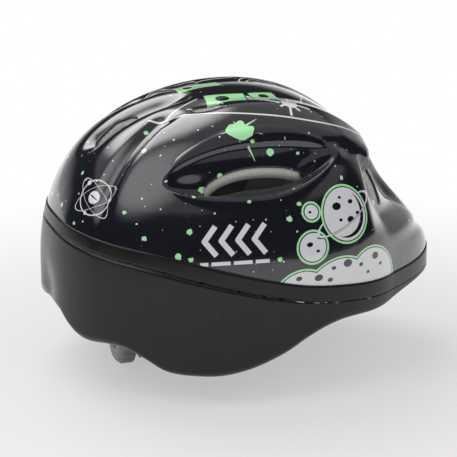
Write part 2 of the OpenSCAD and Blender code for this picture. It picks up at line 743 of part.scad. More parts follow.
// A strap along the wall from its anchor, s = 0, to the slider, s = 1
function strap_point(from, s, e, inset) =
    let (to = 90 + (from < 90 ? -2.6 : 2.6), side = from < 90 ? 1 : -1)
    let (run = abs(to - from) * PI / 180 * cavity_length / 2 * 0.92, fall = anchor_z - slider_z)
    let (steep = atan2(fall, run), a = from + (to - from) * s + side * e * sin(steep) * -0.62)
    let (p = wall(a, 0, inset))
    [p[0], p[1], anchor_z - fall * s - e * cos(steep)];
function strap_grid(from, grow, deep) =
    [for (s = [-0.12, 0, 0.12, 0.3, 0.5, 0.7, 0.85, 1 + 0.04 * grow]) [for (e = from < 90 ? [-1, 1] : [1, -1])
        strap_point(from, s, e * (web_w / 2 + grow),
                    strap_gap + (strap_low - strap_gap) * fade(s, 0.2, 0.8) + deep)]];
module wall_strap(from, grow) {
    slab(strap_grid(from, grow, -grow), strap_grid(from, grow, web_t + grow));
}
module riveted_strap(from) {
    color(WEB)
        difference() {
            wall_strap(from, 0);
            at_wall(from, anchor_z)
                translate([0, 0, -6])
                    cylinder(r = stem_r + skin_gap, h = 12, $fn = 24);
        }
}
module strap_front_left() {
    riveted_strap(anchor_angles[0]);
}
module strap_front_right() {
    mirror([1, 0, 0])
        riveted_strap(anchor_angles[0]);
}
module strap_rear_left() {
    riveted_strap(anchor_angles[1]);
}
module strap_rear_right() {
    mirror([1, 0, 0])
        riveted_strap(anchor_angles[1]);
}
rivet_gap = strap_gap + web_t + skin_gap;
module strap_anchors() {
    color(DARK)
        for (side = [0, 1], a = anchor_angles)
            mirror([side, 0, 0])
                at_wall(a, anchor_z) {
                    translate([0, 0, -rivet_gap - 0.2])
                        cylinder(r = stem_r, h = stem_reach, $fn = 36);
                    translate([0, 0, -rivet_gap - 1.6])
                        cylinder(r = 5, h = 1.4, $fn = 36);
                }
}
slider_x = cavity_width / 2 - slider_deep;
strap_bite = 4;
module side_slider() {
    color(DARK)
        difference() {
            block([slider_x, cavity_y - slider_w / 2, slider_z - slider_h / 2],
                  [cavity_width / 2 - slider_gap, cavity_y + slider_w / 2, slider_z + slider_h / 2]);
            for (a = anchor_angles)
                wall_strap(a, skin_gap);
            block([slider_x - 1, cavity_y - web_w / 2 - skin_gap, slider_z - web_t / 2 - skin_gap],
                  [slider_x + strap_bite + skin_gap, cavity_y + web_w / 2 + skin_gap,
                   slider_z + web_t / 2 + skin_gap]);
        }
}
module side_slider_left() {
    side_slider();
}
module side_slider_right() {
    mirror([1, 0, 0])
        side_slider();
}

// Chin straps, folded twice and put away across the opening
fold_out = slider_x - 7;
socket_start = socket_l - 4;
clip_start = 22;
module run(from, to, z) {
    translate([from, z - web_t / 2])
        square([to - from, web_t]);
}
module half_fold(x, z, side) {
    translate([x, z])
        difference() {
            circle(r = (fold_pitch + web_t) / 2, $fn = 32);
            circle(r = (fold_pitch - web_t) / 2, $fn = 32);
            translate([side > 0 ? -fold_pitch : 0, -fold_pitch])
                square([fold_pitch, 2 * fold_pitch]);
        }
}
module chin_strap(inner_end, fold_in) {
    color(WEB)
        translate([0, cavity_y + web_w / 2, 0])
            rotate([90, 0, 0])
                linear_extrude(web_w)
                    union() {
                        run(fold_in, slider_x + strap_bite, slider_z);
                        half_fold(fold_in, slider_z - fold_pitch / 2, -1);
                        run(fold_in, fold_out, chin_z + fold_pitch);
                        half_fold(fold_out, chin_z + fold_pitch / 2, 1);
                        run(inner_end, fold_out, chin_z);
                    }
}
module chin_strap_left() {
    chin_strap(clip_start - 4, clip_start + fold_pitch + web_t);
}
module chin_strap_right() {
    mirror([1, 0, 0])
        chin_strap(socket_start - 4, socket_start + fold_pitch + web_t);
}
// Centred block about the buckle's middle line
module bar(x0, x1, half_y, half_z) {
    block([x0, cavity_y - half_y, chin_z - half_z], [x1, cavity_y + half_y, chin_z + half_z]);
}
window_half = buckle_w / 2 - 3.4;
prong_half = 1.9;
module buckle_socket() {
    mouth = socket_l - socket_start;
    color(DARK)
        difference() {
            bar(-socket_start, mouth, buckle_w / 2, buckle_t / 2);
            bar(-20, mouth + 1, window_half, prong_half + 0.7);
            bar(-19, -6, buckle_w / 2 + 1, prong_half + 0.7);
            bar(-socket_start - 1, -socket_start + 4.3, web_w / 2 + skin_gap, web_t / 2 + skin_gap);
        }
}
knuckle_x = 7;
knuckle_y = window_half - 2;
knuckle_r = 1.5;
clip_face = socket_l - socket_start + skin_gap;
module buckle_clip() {
    color(DARK)
        difference() {
            union() {
                bar(clip_face, clip_start, buckle_w / 2 - 1, buckle_t / 2 - 0.7);
                bar(-12, clip_face + 1, 1.1, prong_half);
            }
            for (s = [-1, 1]) {
                translate([knuckle_x, cavity_y + s * knuckle_y, -1])
                    cylinder(r = knuckle_r + run_clear, h = buckle_t + 2, $fn = 36);
                block([clip_face - 1, cavity_y + s * knuckle_y - 1.7, -1],
                      [knuckle_x, cavity_y + s * knuckle_y + 1.7, buckle_t + 1]);
            }
            bar(clip_start - 4.3, clip_start + 1, web_w / 2 + skin_gap, web_t / 2 + skin_gap);
        }
}
module prong() {
    translate([0, cavity_y, chin_z - prong_half])
        linear_extrude(2 * prong_half)
            union() {
                polygon([[knuckle_x, knuckle_y - 0.9], [knuckle_x, knuckle_y + 0.9],
                         [-6.5, knuckle_y + 0.9], [-6.5, buckle_w / 2 - 0.8], [-8.5, buckle_w / 2 - 0.8],
                         [-18, knuckle_y + 0.6], [-18, knuckle_y - 1], [-6, knuckle_y - 0.9]]);
                translate([knuckle_x, knuckle_y])
                    circle(r = knuckle_r, $fn = 36);
            }
}
module prong_rear() {
    color(DARK)
        prong();
}
module prong_front() {
    color(DARK)
        translate([0, 2 * cavity_y, 0])
            mirror([0, 1, 0])
                prong();
}
keeper_x = 44;
keeper_gap = 0.4;
keeper_wall = 1.5;
module strap_keeper() {
    low = chin_z - web_t / 2 - keeper_gap;
    high = slider_z + web_t / 2 + keeper_gap;
    half = web_w / 2 + keeper_gap;
    color(DARK)
        difference() {
            block([keeper_x - 4, cavity_y - half - keeper_wall, low - keeper_wall],
                  [keeper_x + 4, cavity_y + half + keeper_wall, high + keeper_wall]);
            block([keeper_x - 5, cavity_y - half, low], [keeper_x + 5, cavity_y + half, high]);
        }
}
// Chin pad: a soft sleeve round the lowest run of the right strap
module chin_pad() {
    high = fold_pitch - web_t / 2 - skin_gap;
    half = web_w / 2 + skin_gap + 2.4;
    color(PAD)
        translate([-socket_start - 3, cavity_y, chin_z])
            rotate([0, -90, 0])
                linear_extrude(chin_pad_l)
                    difference() {
                        hull()
                            for (y = [-1, 1])
                                translate([0, y * (half - high)])
                                    circle(r = high, $fn = 32);
                        square([web_t + 2 * skin_gap, web_w + 2 * skin_gap], center = true);
                    }
}

upper_shell();
lower_shell();
seam_tape();
foam_liner();
brow_pad();
crown_pad();
side_pad_left();
side_pad_right();
rear_pad_left();
rear_pad_right();
hook_patches();
temple_pins();
headband_left();
headband_right();
housing_front();
housing_rear();
rack_left();
rack_right();
pinion();
dial_knob();
dial_screw();
click_ring();
housing_screws();
nape_pad();
strap_anchors();
strap_front_left();
strap_front_right();
strap_rear_left();
strap_rear_right();
side_slider_left();
side_slider_right();
chin_strap_left();
chin_strap_right();
buckle_socket();
buckle_clip();
prong_front();
prong_rear();
strap_keeper();
chin_pad();
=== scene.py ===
# %% [markdown]
# # A child's bicycle helmet
#
# The helmet has a thin glossy upper shell, printed and clear-coated, over a satin lower shell. A strip
# of tape hides the joint. Inside are a liner of expanded foam, cloth pads, a dial that tightens a
# headband, and a harness of webbing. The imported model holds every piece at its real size. This lesson
# dresses those pieces: smooth shells, rolled vent lips, simulated pads, and a material for each finish.

# %% Load the fixed frame
import math

import bmesh
import bpy
import numpy as np
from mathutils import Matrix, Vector


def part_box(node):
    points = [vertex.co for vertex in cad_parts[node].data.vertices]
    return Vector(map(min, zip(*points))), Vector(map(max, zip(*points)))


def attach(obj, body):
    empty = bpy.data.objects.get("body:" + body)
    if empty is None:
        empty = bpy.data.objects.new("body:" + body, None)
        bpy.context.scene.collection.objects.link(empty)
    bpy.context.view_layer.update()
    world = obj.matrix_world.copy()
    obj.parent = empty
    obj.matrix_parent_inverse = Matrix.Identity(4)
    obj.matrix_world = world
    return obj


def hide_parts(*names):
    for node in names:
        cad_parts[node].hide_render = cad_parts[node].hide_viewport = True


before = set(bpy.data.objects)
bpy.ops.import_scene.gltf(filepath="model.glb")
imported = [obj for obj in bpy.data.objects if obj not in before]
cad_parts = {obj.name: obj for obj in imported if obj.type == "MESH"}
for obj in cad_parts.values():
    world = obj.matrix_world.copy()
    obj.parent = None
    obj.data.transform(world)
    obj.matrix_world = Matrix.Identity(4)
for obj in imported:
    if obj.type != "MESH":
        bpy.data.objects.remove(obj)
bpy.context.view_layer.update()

print("nodes:", len(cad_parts))

# %% [markdown]
# ## Camera and studio
#
# The photograph looks at the helmet's right side, 18 degrees from behind and 17 degrees from above,
# through a long lens. The frame is square, so the lens follows from the scale at the helmet's middle.
# The lens shift puts the helmet at the same place in the frame without turning the camera.

# %% The camera
CAMERA_BEHIND = math.radians(18)
CAMERA_ABOVE = math.radians(17)
CAMERA_DISTANCE = 1.5
AIM = Vector((0, 0, 0.085))
FRAME_PX = 457
PX_PER_M = 1505
AIM_PX = (236.3, 201.4)
SENSOR = 36

towards_camera = Vector((-math.cos(CAMERA_BEHIND) * math.cos(CAMERA_ABOVE),
                         math.sin(CAMERA_BEHIND) * math.cos(CAMERA_ABOVE), math.sin(CAMERA_ABOVE)))
bpy.ops.object.camera_add(location=AIM + CAMERA_DISTANCE * towards_camera)
camera = bpy.context.object
camera.name = "photo_camera"
camera.rotation_euler = towards_camera.to_track_quat("Z", "Y").to_euler()
camera.data.sensor_width = SENSOR
camera.data.lens = PX_PER_M * CAMERA_DISTANCE / FRAME_PX * SENSOR
camera.data.shift_x = (FRAME_PX / 2 - AIM_PX[0]) / FRAME_PX
camera.data.shift_y = (AIM_PX[1] - FRAME_PX / 2) / FRAME_PX
camera.data.clip_end = 20
bpy.context.scene.camera = camera
print("lens", round(camera.data.lens, 1), "mm")

# %% [markdown]
# A finish is a tree of shader nodes. One small helper places a node, sets its values and links what
# feeds it, so that each material reads as a short list of what the finish is made of.


# %% Helpers for shader nodes
def put(tree, kind, feeds=None, **settings):
    node = tree.nodes.new(kind)
    for name, value in settings.items():
        setattr(node, name, value)
    for key, value in (feeds or {}).items():
        if isinstance(value, bpy.types.NodeSocket):
            tree.links.new(value, node.inputs[key])
        else:
            node.inputs[key].default_value = value
    return node


def math_node(tree, operation, *values, clamp=False):
    node = put(tree, "ShaderNodeMath", dict(enumerate(values)), operation=operation, use_clamp=clamp)
    return node.outputs[0]


def vector_math(tree, operation, *values, output="Vector"):
    return put(tree, "ShaderNodeVectorMath", dict(enumerate(values)), operation=operation).outputs[output]


def scaled_by(tree, vector, factor):
    return put(tree, "ShaderNodeVectorMath", {0: vector, "Scale": factor}, operation="SCALE").outputs[0]


def parts_of(tree, vector):
    """The x, y and z of a vector, as three numbers."""
    return put(tree, "ShaderNodeSeparateXYZ", {0: vector}).outputs


def mix_numbers(tree, share, first, second):
    return put(tree, "ShaderNodeMix", {0: share, 2: first, 3: second}).outputs[0]


def mix_colours(tree, share, first, second):
    return put(tree, "ShaderNodeMix", {0: share, 6: first, 7: second}, data_type="RGBA").outputs[2]


def new_material(name):
    material = bpy.data.materials.new(name)
    material.use_nodes = True
    material.node_tree.nodes.clear()
    return material, material.node_tree


def surface(tree, feeds):
    shader = put(tree, "ShaderNodeBsdfPrincipled", feeds)
    put(tree, "ShaderNodeOutputMaterial", {"Surface": shader.outputs[0]})
    return shader


def object_coordinates(tree):
    return put(tree, "ShaderNodeTexCoord").outputs["Object"]


print("helpers ready")

# %% [markdown]
# The floor is a plain pale disc just under the dial, which hangs lowest. It keeps the soft shadow of
# the helmet near the middle, and away from it the disc fades into the white background.

# %% Floor
floor_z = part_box("dial_knob")[0][2] - 0.0005
FLOOR_R, FLOOR_GLOW = 3, 0.46
PAPER_R, FADED_R, PAPER_TONE = 0.17, 0.42, (0.66, 0.66, 0.66, 1)
bpy.ops.mesh.primitive_circle_add(vertices=96, radius=FLOOR_R, fill_type="NGON", location=(0, 0, floor_z))
floor = bpy.context.object
floor.name = "floor"
floor_material, tree = new_material("floor_paper")
distance = vector_math(tree, "LENGTH", object_coordinates(tree), output="Value")
far = put(tree, "ShaderNodeMapRange", {"Value": distance, "From Min": PAPER_R, "From Max": FADED_R,
                                       "To Min": FLOOR_GLOW}, interpolation_type="SMOOTHSTEP").outputs[0]
paper = put(tree, "ShaderNodeBsdfDiffuse", {"Color": PAPER_TONE})
white = put(tree, "ShaderNodeEmission", {"Strength": 1.0})
rays = put(tree, "ShaderNodeLightPath")
seen = math_node(tree, "MAXIMUM", rays.outputs["Is Camera Ray"], rays.outputs["Is Glossy Ray"])
mix = put(tree, "ShaderNodeMixShader", {0: math_node(tree, "MULTIPLY", far, seen),
                                        1: paper.outputs[0], 2: white.outputs[0]})
put(tree, "ShaderNodeOutputMaterial", {"Surface": mix.outputs[0]})
floor.data.materials.append(floor_material)
print("floor at", round(floor_z * 1000, 1), "mm")

# %% [markdown]
# The world is white to the camera. For reflections it is a studio. A white wall stands behind the helmet
# as the camera sees it, and the camera's own side is dark up to the edge of a pale ceiling. Two soft
# patches in the ceiling are the big lamps, and a weak one stands low in front. The directions are fixed
# in the room, so the gloss slides over the shell in other views as it would on the real one.


# %% Helpers for the room
def towards(azimuth, elevation):
    a, e = math.radians(azimuth), math.radians(elevation)
    return Vector((math.sin(a) * math.cos(e), -math.cos(a) * math.cos(e), math.sin(e)))


def rising(tree, value, low, high, top):
    return put(tree, "ShaderNodeMapRange", {"Value": value, "From Min": low, "From Max": high, "To Max": top},
               interpolation_type="SMOOTHSTEP").outputs[0]


def facing(tree, heading, direction):
    return vector_math(tree, "DOT_PRODUCT", heading, direction, output="Value")


# %% World
KEY, REAR_GLOW, FRONT_GLOW = towards(108, 52), towards(200, 50), towards(30, 4)
# for each soft patch: its direction, the cosines where it starts and where it is full, its level
PATCHES = [(KEY, 0.9, 0.98, 5.0), (REAR_GLOW, 0.84, 0.98, 2.0), (FRONT_GLOW, 0.88, 0.97, 0.5)]
WALL_LEVEL, CEILING_LEVEL, DIM_LEVEL, AMBIENT = 0.8, 0.5, 0.03, 0.66
world = bpy.data.worlds.new("studio")
bpy.context.scene.world = world
world.use_nodes = True
tree = world.node_tree
tree.nodes.clear()
heading = put(tree, "ShaderNodeTexCoord").outputs["Generated"]
wall_side = Vector((math.cos(CAMERA_BEHIND), -math.sin(CAMERA_BEHIND), 0))
height_in_room = facing(tree, heading, Vector((0, 0, 1)))
wall_glow = rising(tree, facing(tree, heading, wall_side), 0.42, 0.6, WALL_LEVEL)
wall_glow = math_node(tree, "MULTIPLY", wall_glow, rising(tree, height_in_room, 0.22, -0.08, 1))
ceiling = rising(tree, height_in_room, 0.43, 0.5, CEILING_LEVEL)
room = math_node(tree, "MAXIMUM", math_node(tree, "MAXIMUM", wall_glow, ceiling), DIM_LEVEL)
for direction, start, full, top in PATCHES:
    room = math_node(tree, "ADD", room, rising(tree, facing(tree, heading, direction), start, full, top))
rays = put(tree, "ShaderNodeLightPath")
glossy, to_camera = rays.outputs["Is Glossy Ray"], rays.outputs["Is Camera Ray"]
plain = math_node(tree, "MULTIPLY", AMBIENT, math_node(tree, "SUBTRACT", 1, glossy))
lit = math_node(tree, "MULTIPLY_ADD", room, glossy, plain)
level = math_node(tree, "MULTIPLY_ADD", lit, math_node(tree, "SUBTRACT", 1, to_camera), to_camera)
background = put(tree, "ShaderNodeBackground", {"Strength": level})
put(tree, "ShaderNodeOutputWorld", {"Surface": background.outputs[0]})
bpy.context.scene.view_settings.view_transform = "Standard"
print("world ready")


# %% Soft boxes, which give the matt surfaces their shade; the world already shows their reflections
def soft_box(name, direction, distance, size, watts):
    bpy.ops.object.light_add(type="AREA", location=AIM + distance * direction)
    lamp = bpy.context.object
    lamp.name = name
    lamp.data.shape = "DISK"
    lamp.data.size = size
    lamp.data.energy = watts
    lamp.rotation_euler = direction.to_track_quat("Z", "Y").to_euler()
    lamp.visible_glossy = False
    return lamp


soft_box("key_box", KEY, 1.6, 1.3, 14)
soft_box("rear_box", REAR_GLOW, 1.5, 1.0, 6)
soft_box("fill_box", towards(290, 35), 1.6, 0.8, 2)
print("three soft boxes")

# %% [markdown]
# ## The shape that all the outer pieces share
#
# Seen from above, the helmet is a rounded oblong, a superellipse. From the side it is a dome that tapers
# above its widest line. On this dome lie the ribs, creases and scoops, and the short brow at the front.
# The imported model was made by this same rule, so pieces built with it fit the frame with no fitting.
# The rule works in millimetres, by the angle round the helmet (0 is the front, 90 the wearer's left,
# 180 the rear) and the height over the lowest edge.

# %% Driving sizes, in millimetres
MM = 0.001
WIDTH, HEIGHT, WAIST = 202, 163, 44
FRONT, REAR, VISOR = 108, 130, 22
PLAN_POWER = 2.3
UPPER_WALL, LOWER_WALL, LOWER_STEP = 1, 1.8, 0.6
TAPE_HEIGHT, TAPE_WALL, TAPE_GAP, SKIN_GAP = 11, 0.35, 0.2, 0.3
EDGE_ROLL = 7
EDGE = [(0, 37), (24, 35), (37, 33), (49, 30), (64, 30), (73, 26), (81, 20), (88, 13), (96, 7),
        (103, 3), (112, 0), (120, 0), (131, 3), (138, 11), (144, 16.5), (150, 17.5), (157, 16.5),
        (161, 18), (165, 22), (169, 27.5), (173, 28.5), (180, 27)]
JOINT = [(0, 40.5), (24, 37), (42, 38), (55, 40), (64, 42), (81, 46), (96, 52), (110, 59),
         (123, 66), (135, 72), (148, 76), (164, 80), (180, 82)]
print("shell", WIDTH, "by", FRONT + REAR + VISOR, "by", HEIGHT, "mm")


# %% Curves that the shape is made of
def ease(t):
    return t * t * (3 - 2 * t)


def fade(u, low, high):
    return ease(np.clip((u - low) / (high - low), 0, 1))


def bump(u, width):
    return np.exp(-(u / width) ** 2)


def turned(angle):
    return np.abs((angle + 180) % 360 - 180)


def along(points, u):
    x, y = np.array(points, float).T
    slope = np.zeros_like(y)
    slope[1:-1] = (y[2:] - y[:-2]) / (x[2:] - x[:-2])
    i = np.clip(np.searchsorted(x, u, side="right") - 1, 0, len(x) - 2)
    span = x[i + 1] - x[i]
    t = np.clip((u - x[i]) / span, 0, 1)
    return ((2 * t ** 3 - 3 * t ** 2 + 1) * y[i] + (t ** 3 - 2 * t ** 2 + t) * slope[i] * span
            + (3 * t ** 2 - 2 * t ** 3) * y[i + 1] + (t ** 3 - t ** 2) * slope[i + 1] * span)


# %% The smooth dome
def dome(angle, z, inset):
    """A point by its angle and height, on a superellipse in plan that narrows above the waist."""
    turn = np.radians(angle)
    c, s = -np.cos(turn), np.sin(turn)
    deep = np.where(c < 0, FRONT, REAR) - inset
    wide = WIDTH / 2 - inset
    plan = ((np.abs(c) / deep) ** PLAN_POWER + (np.abs(s) / wide) ** PLAN_POWER) ** (-1 / PLAN_POWER)
    power = 2.1 + 0.2 * (1 + c)
    up = (z - WAIST) / (HEIGHT - inset - WAIST)
    above = np.maximum(0, 1 - np.clip(up, 0, 1) ** power) ** (1 / power)
    taper = np.where(up > 0, above, 1 - 0.05 * up * up)
    return np.stack([plan * taper * s, plan * taper * c, z + 0 * s], -1)


def outward(p):
    """The direction in which the relief stands out, level below the waist."""
    v = p * (1, 0.6, 0.75) - (0, 0, 0.75 * WAIST)
    v[..., 2] = np.maximum(0, v[..., 2])
    return v / np.maximum(1e-9, np.linalg.norm(v, axis=-1, keepdims=True))


# %% Ribs, creases and scoops over the dome, with the drawn bead and lip round each scoop
def scoop_half(y):
    return 9 * np.maximum(0, 1 - ((y - 11) / 58) ** 2) ** np.where(y > 0, 0.5, 0.7)


def scoop_place(p):
    """Where a point lies over a scoop (-1 and 1 at its long edges), and in degrees from the top the
    scoop's half width there and the point's own angle."""
    y, up = p[..., 1], p[..., 2] - WAIST
    roll = np.degrees(np.arctan2(np.abs(p[..., 0]), up - 8))
    half = scoop_half(y)
    middle = 43.7 - 0.0016 * np.maximum(0, 12 - y) ** 2
    return np.where(half > 0, (roll - middle) / np.maximum(half, 1e-6), 2), half, roll


def relief(p):
    """How far each point stands out of the dome: every form is a bump or some fades along x, y and up."""
    ax, y, up = np.abs(p[..., 0]), p[..., 1], p[..., 2] - WAIST
    u, half, roll = scoop_place(p)
    groove = -6 * bump(ax, 9) * fade(y, 22, 55) * (1 - fade(y, 94, 108))
    crease_x = 29 + 0.47 * np.maximum(0, y - 62)
    crease = -4 * bump(ax - crease_x, 6) * fade(y, 42, 66) * (1 - fade(y, 100, 114))
    rib = (4 * fade(roll, 10, 20) * (1 - fade(roll, 30, 37)) * fade(-y, -80, 10)
           * (1 - fade(-y, 73, 84)))
    scoop = (-11 * (0.22 * fade(u, -1, -0.78) + 0.78 * fade(u, -1, 0.6)) * (1 - fade(u, 0.8, 1.25))
             * fade(half, 0, 7))
    back = np.where(roll < 36, 74, 64)
    brow = (-7 * ease(np.clip((-y - back) / 9, 0, 1)) * fade(ax, 6, 20) * (1 - fade(ax, 62, 82))
            * fade(up, 26, 46) * (1 - fade(up, 88, 100)))
    pocket = -3 * bump(ax - 30, 5) * bump(y - 29, 9)
    nape = -3 * bump(ax, 16) * fade(y, 80, 110) * (1 - fade(up, -6, 24))
    bead = 1.1 * bump(u + 1.3, 0.2) * fade(half, 2, 6)
    lip = 0.8 * bump(u - 1.3, 0.24) * fade(half, 2, 5)
    tongue = 2.4 * bump(roll - 44.6 - 0.222 * (y + 18), 2.6) * fade(-y, 12, 27) * (1 - fade(-y, 44, 58))
    return groove + crease + rib + scoop + brow + pocket + nape + bead + lip + tongue


# %% A point on the shell, a distance inside its outer face
def skin(angle, z, inset=0.0):
    angle, z = np.broadcast_arrays(np.asarray(angle, float), np.asarray(z, float))
    up = z - WAIST
    drop = inset * np.maximum(0, up) / (HEIGHT - WAIST)
    p = dome(angle, z, 0)
    q = dome(angle, z - drop, inset) + relief(p)[..., None] * outward(p)
    q[..., 1] -= VISOR * (1 - fade(turned(angle), 8, 42)) * (1 - fade(up, 6, 60) - 0.11 * bump(up - 22, 4))
    return q


print("crown at", skin([0.0], [HEIGHT - 0.001])[0].round(1))


# %% Helpers for meshes
def clear_selection():
    bpy.ops.object.select_all(action="DESELECT")


def take(piece):
    clear_selection()
    piece.select_set(True)
    bpy.context.view_layer.objects.active = piece


def coordinates(piece):
    co = np.empty(len(piece.data.vertices) * 3)
    piece.data.vertices.foreach_get("co", co)
    return co.reshape(-1, 3)


def set_coordinates(piece, co):
    piece.data.vertices.foreach_set("co", co.ravel())
    piece.data.update()


def apply_modifier(piece, kind, **settings):
    take(piece)
    modifier = piece.modifiers.new(kind.lower(), kind)
    for name, value in settings.items():
        setattr(modifier, name, value)
    bpy.ops.object.modifier_apply(modifier=modifier.name)


def smooth(piece, degrees=180):
    take(piece)
    if degrees == 180:
        bpy.ops.object.shade_smooth()
    else:
        bpy.ops.object.shade_smooth_by_angle(angle=math.radians(degrees))


def half_sphere(name, segments, rows, cut_at=-0.002):
    """The upper half of a sphere of radius 1, left in edit mode."""
    clear_selection()
    bpy.ops.mesh.primitive_uv_sphere_add(segments=segments, ring_count=2 * rows, radius=1)
    piece = bpy.context.object
    piece.name = name
    bpy.ops.object.mode_set(mode="EDIT")
    bpy.ops.mesh.select_all(action="SELECT")
    bpy.ops.mesh.bisect(plane_co=(0, 0, cut_at), plane_no=(0, 0, 1), clear_inner=True)
    return piece


def flip(piece):
    take(piece)
    bpy.ops.object.mode_set(mode="EDIT")
    bpy.ops.mesh.select_all(action="SELECT")
    bpy.ops.mesh.flip_normals()
    bpy.ops.object.mode_set(mode="OBJECT")


def break_edges(piece, width, segments=2, angle=50):
    apply_modifier(piece, "BEVEL", width=width * MM, segments=segments, limit_method="ANGLE",
                   angle_limit=math.radians(angle))


wearing, wearing_of = {}, {}


def dress(piece, body, node, finish):
    """The piece moves with the body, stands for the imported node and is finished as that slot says."""
    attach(piece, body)
    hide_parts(node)
    wearing.setdefault(finish, []).append(piece)
    wearing_of[node] = finish
    print(piece.name, len(piece.data.polygons), "faces,", finish)


print("mesh helpers ready")

# %% [markdown]
# ## Upper shell
#
# The real shell is a sheet of polycarbonate, printed flat and drawn over a mould. It starts here as half
# a sphere: the sphere is bisected at its equator, and then each vertex goes to the place on the shell
# that the rule gives for its angle and height. The equator becomes the joint line.

# %% Half a sphere, laid on the dome
AROUND, ROWS = 324, 96
upper_shell = half_sphere("upper_shell_skin", AROUND, ROWS)
bpy.ops.object.mode_set(mode="OBJECT")


def lay_on_dome(co, raise_by):
    angle = np.degrees(np.arctan2(co[:, 0], -co[:, 1])) % 360
    low = along(JOINT, turned(angle)) + raise_by
    high = np.clip(co[:, 2], 0, 1)
    top = np.hypot(co[:, 0], co[:, 1]) < 1e-6
    place = skin(angle, np.minimum(HEIGHT - 1e-4, low + (HEIGHT - low) * high))
    place[top] = skin([0.0], [HEIGHT - 1e-4])[0]
    return place


print("upper shell:", len(upper_shell.data.polygons), "faces")

# %% A finer grid round the scoops, so that their lips shine in one smooth line
FINE_REACH, FINE_LEAST = 1.75, 4
u, half, _ = scoop_place(lay_on_dome(coordinates(upper_shell), SKIN_GAP))
close = (half > 0) & (np.abs(u) * half < FINE_REACH * np.maximum(half, FINE_LEAST))
take(upper_shell)
for edge in upper_shell.data.edges:
    edge.select = bool(close[edge.vertices[0]] and close[edge.vertices[1]])
for face in upper_shell.data.polygons:
    face.select = all(close[k] for k in face.vertices)
upper_shell.data.vertices.foreach_set("select", close)
bpy.ops.object.mode_set(mode="EDIT")
bpy.ops.mesh.subdivide(number_cuts=1)
bpy.ops.object.mode_set(mode="OBJECT")
set_coordinates(upper_shell, lay_on_dome(coordinates(upper_shell), SKIN_GAP) * MM)
print("with finer scoops:", len(upper_shell.data.polygons), "faces")

# %% [markdown]
# The vents are cut by their outlines. Each outline is a chain of circles joined by straight tangents,
# seen along the vent's own direction. An edge that crosses the outline is split at the crossing, the
# new points are joined across their faces, and what lies inside is deleted. This leaves one clean
# loop, which a boolean on so fine a mesh would not. The loop is then drawn inwards in small steps, which
# rolls the shell's edge into the vent as the vacuum forming does.


# %% Vent outlines: (across, along, radius) of each circle, seen along the vent
class Vent:
    def __init__(self, chain, centre, across, lengthways, holds, inwards, reach, foam_drop=0):
        self.foam_drop = foam_drop
        self.inwards = np.array(inwards, float)
        self.reach = reach
        self.chain = chain
        self.centre = np.array(centre, float)
        self.across = np.array(across, float)
        self.lengthways = np.array(lengthways, float)
        self.holds = holds

    def distance(self, p):
        q = p - self.centre
        s, t = q @ self.across, q @ self.lengthways
        best = np.full(s.shape, np.inf)
        for (s0, t0, r0), (s1, t1, r1) in zip(self.chain, self.chain[1:]):
            span = np.array((s1 - s0, t1 - t0))
            k = np.clip(((s - s0) * span[0] + (t - t0) * span[1]) / (span @ span), 0, 1)
            off = np.hypot(s - s0 - k * span[0], t - t0 - k * span[1])
            best = np.minimum(best, off - r0 - k * (r1 - r0))
        return np.where(self.holds(p), best, np.abs(best) + 50)


SCOOP_TILT = math.radians(20)
SCOOP_R, BROW_R, POCKET_R, SLOT_R = 6.6, 6.5, 4, 7.5
SCOOP_MIDDLE, SCOOP_REACH, SCOOP_DROOP = 12, 32, 0.0055
FOAM_DROP, TUNNEL_LEAN = 4.2, 0.38


def scoop_chain():
    """Circles along the scoop's hole: an ellipse whose rear end droops."""
    return [(SCOOP_DROOP * max(0, t - SCOOP_MIDDLE) ** 2, t,
             SCOOP_R * math.sqrt(1 - ((t - SCOOP_MIDDLE) / SCOOP_REACH) ** 2)) for t in range(42, -19, -4)]


def vents():
    found = [Vent([(0, 72, SLOT_R * 2 / 3), (0, 80, SLOT_R * 0.9), (0, 90, SLOT_R * 2 / 3)], (0, 0, 0),
                  (1, 0, 0), (0, 1, 0), lambda p: p[..., 2] > WAIST + 30, (0, 0, -1), 80)]
    for side in (-1, 1):
        down = (side * math.sin(SCOOP_TILT), 0, -math.cos(SCOOP_TILT))
        found.append(Vent(scoop_chain(), (side * 78, 0, WAIST + 80), down, (0, 1, 0),
                          lambda p, s=side: s * p[..., 0] > 40,
                          (-side * math.cos(SCOOP_TILT), -TUNNEL_LEAN, -math.sin(SCOOP_TILT)), 52, FOAM_DROP))
        found.append(Vent([(33, 10, BROW_R - 2), (42, 0, BROW_R), (50, -9, BROW_R - 2)], (0, 0, WAIST + 60),
                          (side, 0, 0), (0, 0, 1), lambda p: p[..., 1] < -30, (0, 1, 0), 92))
        found.append(Vent([(30, 23, POCKET_R), (30, 35, POCKET_R)], (0, 0, 0), (side, 0, 0), (0, 1, 0),
                          lambda p: p[..., 2] > WAIST + 20, (0, 0, -1), 42))
    return found


# %% Cut a vent and roll its edge in
ROLL_R, ROLL_STEPS = 1.2, 5


def cut_vent(mesh, vent, roll):
    """Cuts the mesh along the vent's outline, made larger by the roll, and returns the new rim."""
    p = np.array([v.co for v in mesh.verts]) / MM
    value = dict(zip(mesh.verts, vent.distance(p) - roll))
    new = []
    for edge in [e for e in mesh.edges if value[e.verts[0]] * value[e.verts[1]] < 0]:
        a, b = edge.verts
        share = min(0.98, max(0.02, value[a] / (value[a] - value[b])))
        vert = bmesh.utils.edge_split(edge, a, share)[1]
        value[vert] = 0.0
        new.append(vert)
    bmesh.ops.connect_verts(mesh, verts=new)
    inside = [v for v in mesh.verts if value.get(v, 1) < 0]
    bmesh.ops.delete(mesh, geom=inside, context="VERTS")
    rim = {v for v in new if v.is_valid}
    return [e for e in mesh.edges if e.is_boundary and e.verts[0] in rim and e.verts[1] in rim]


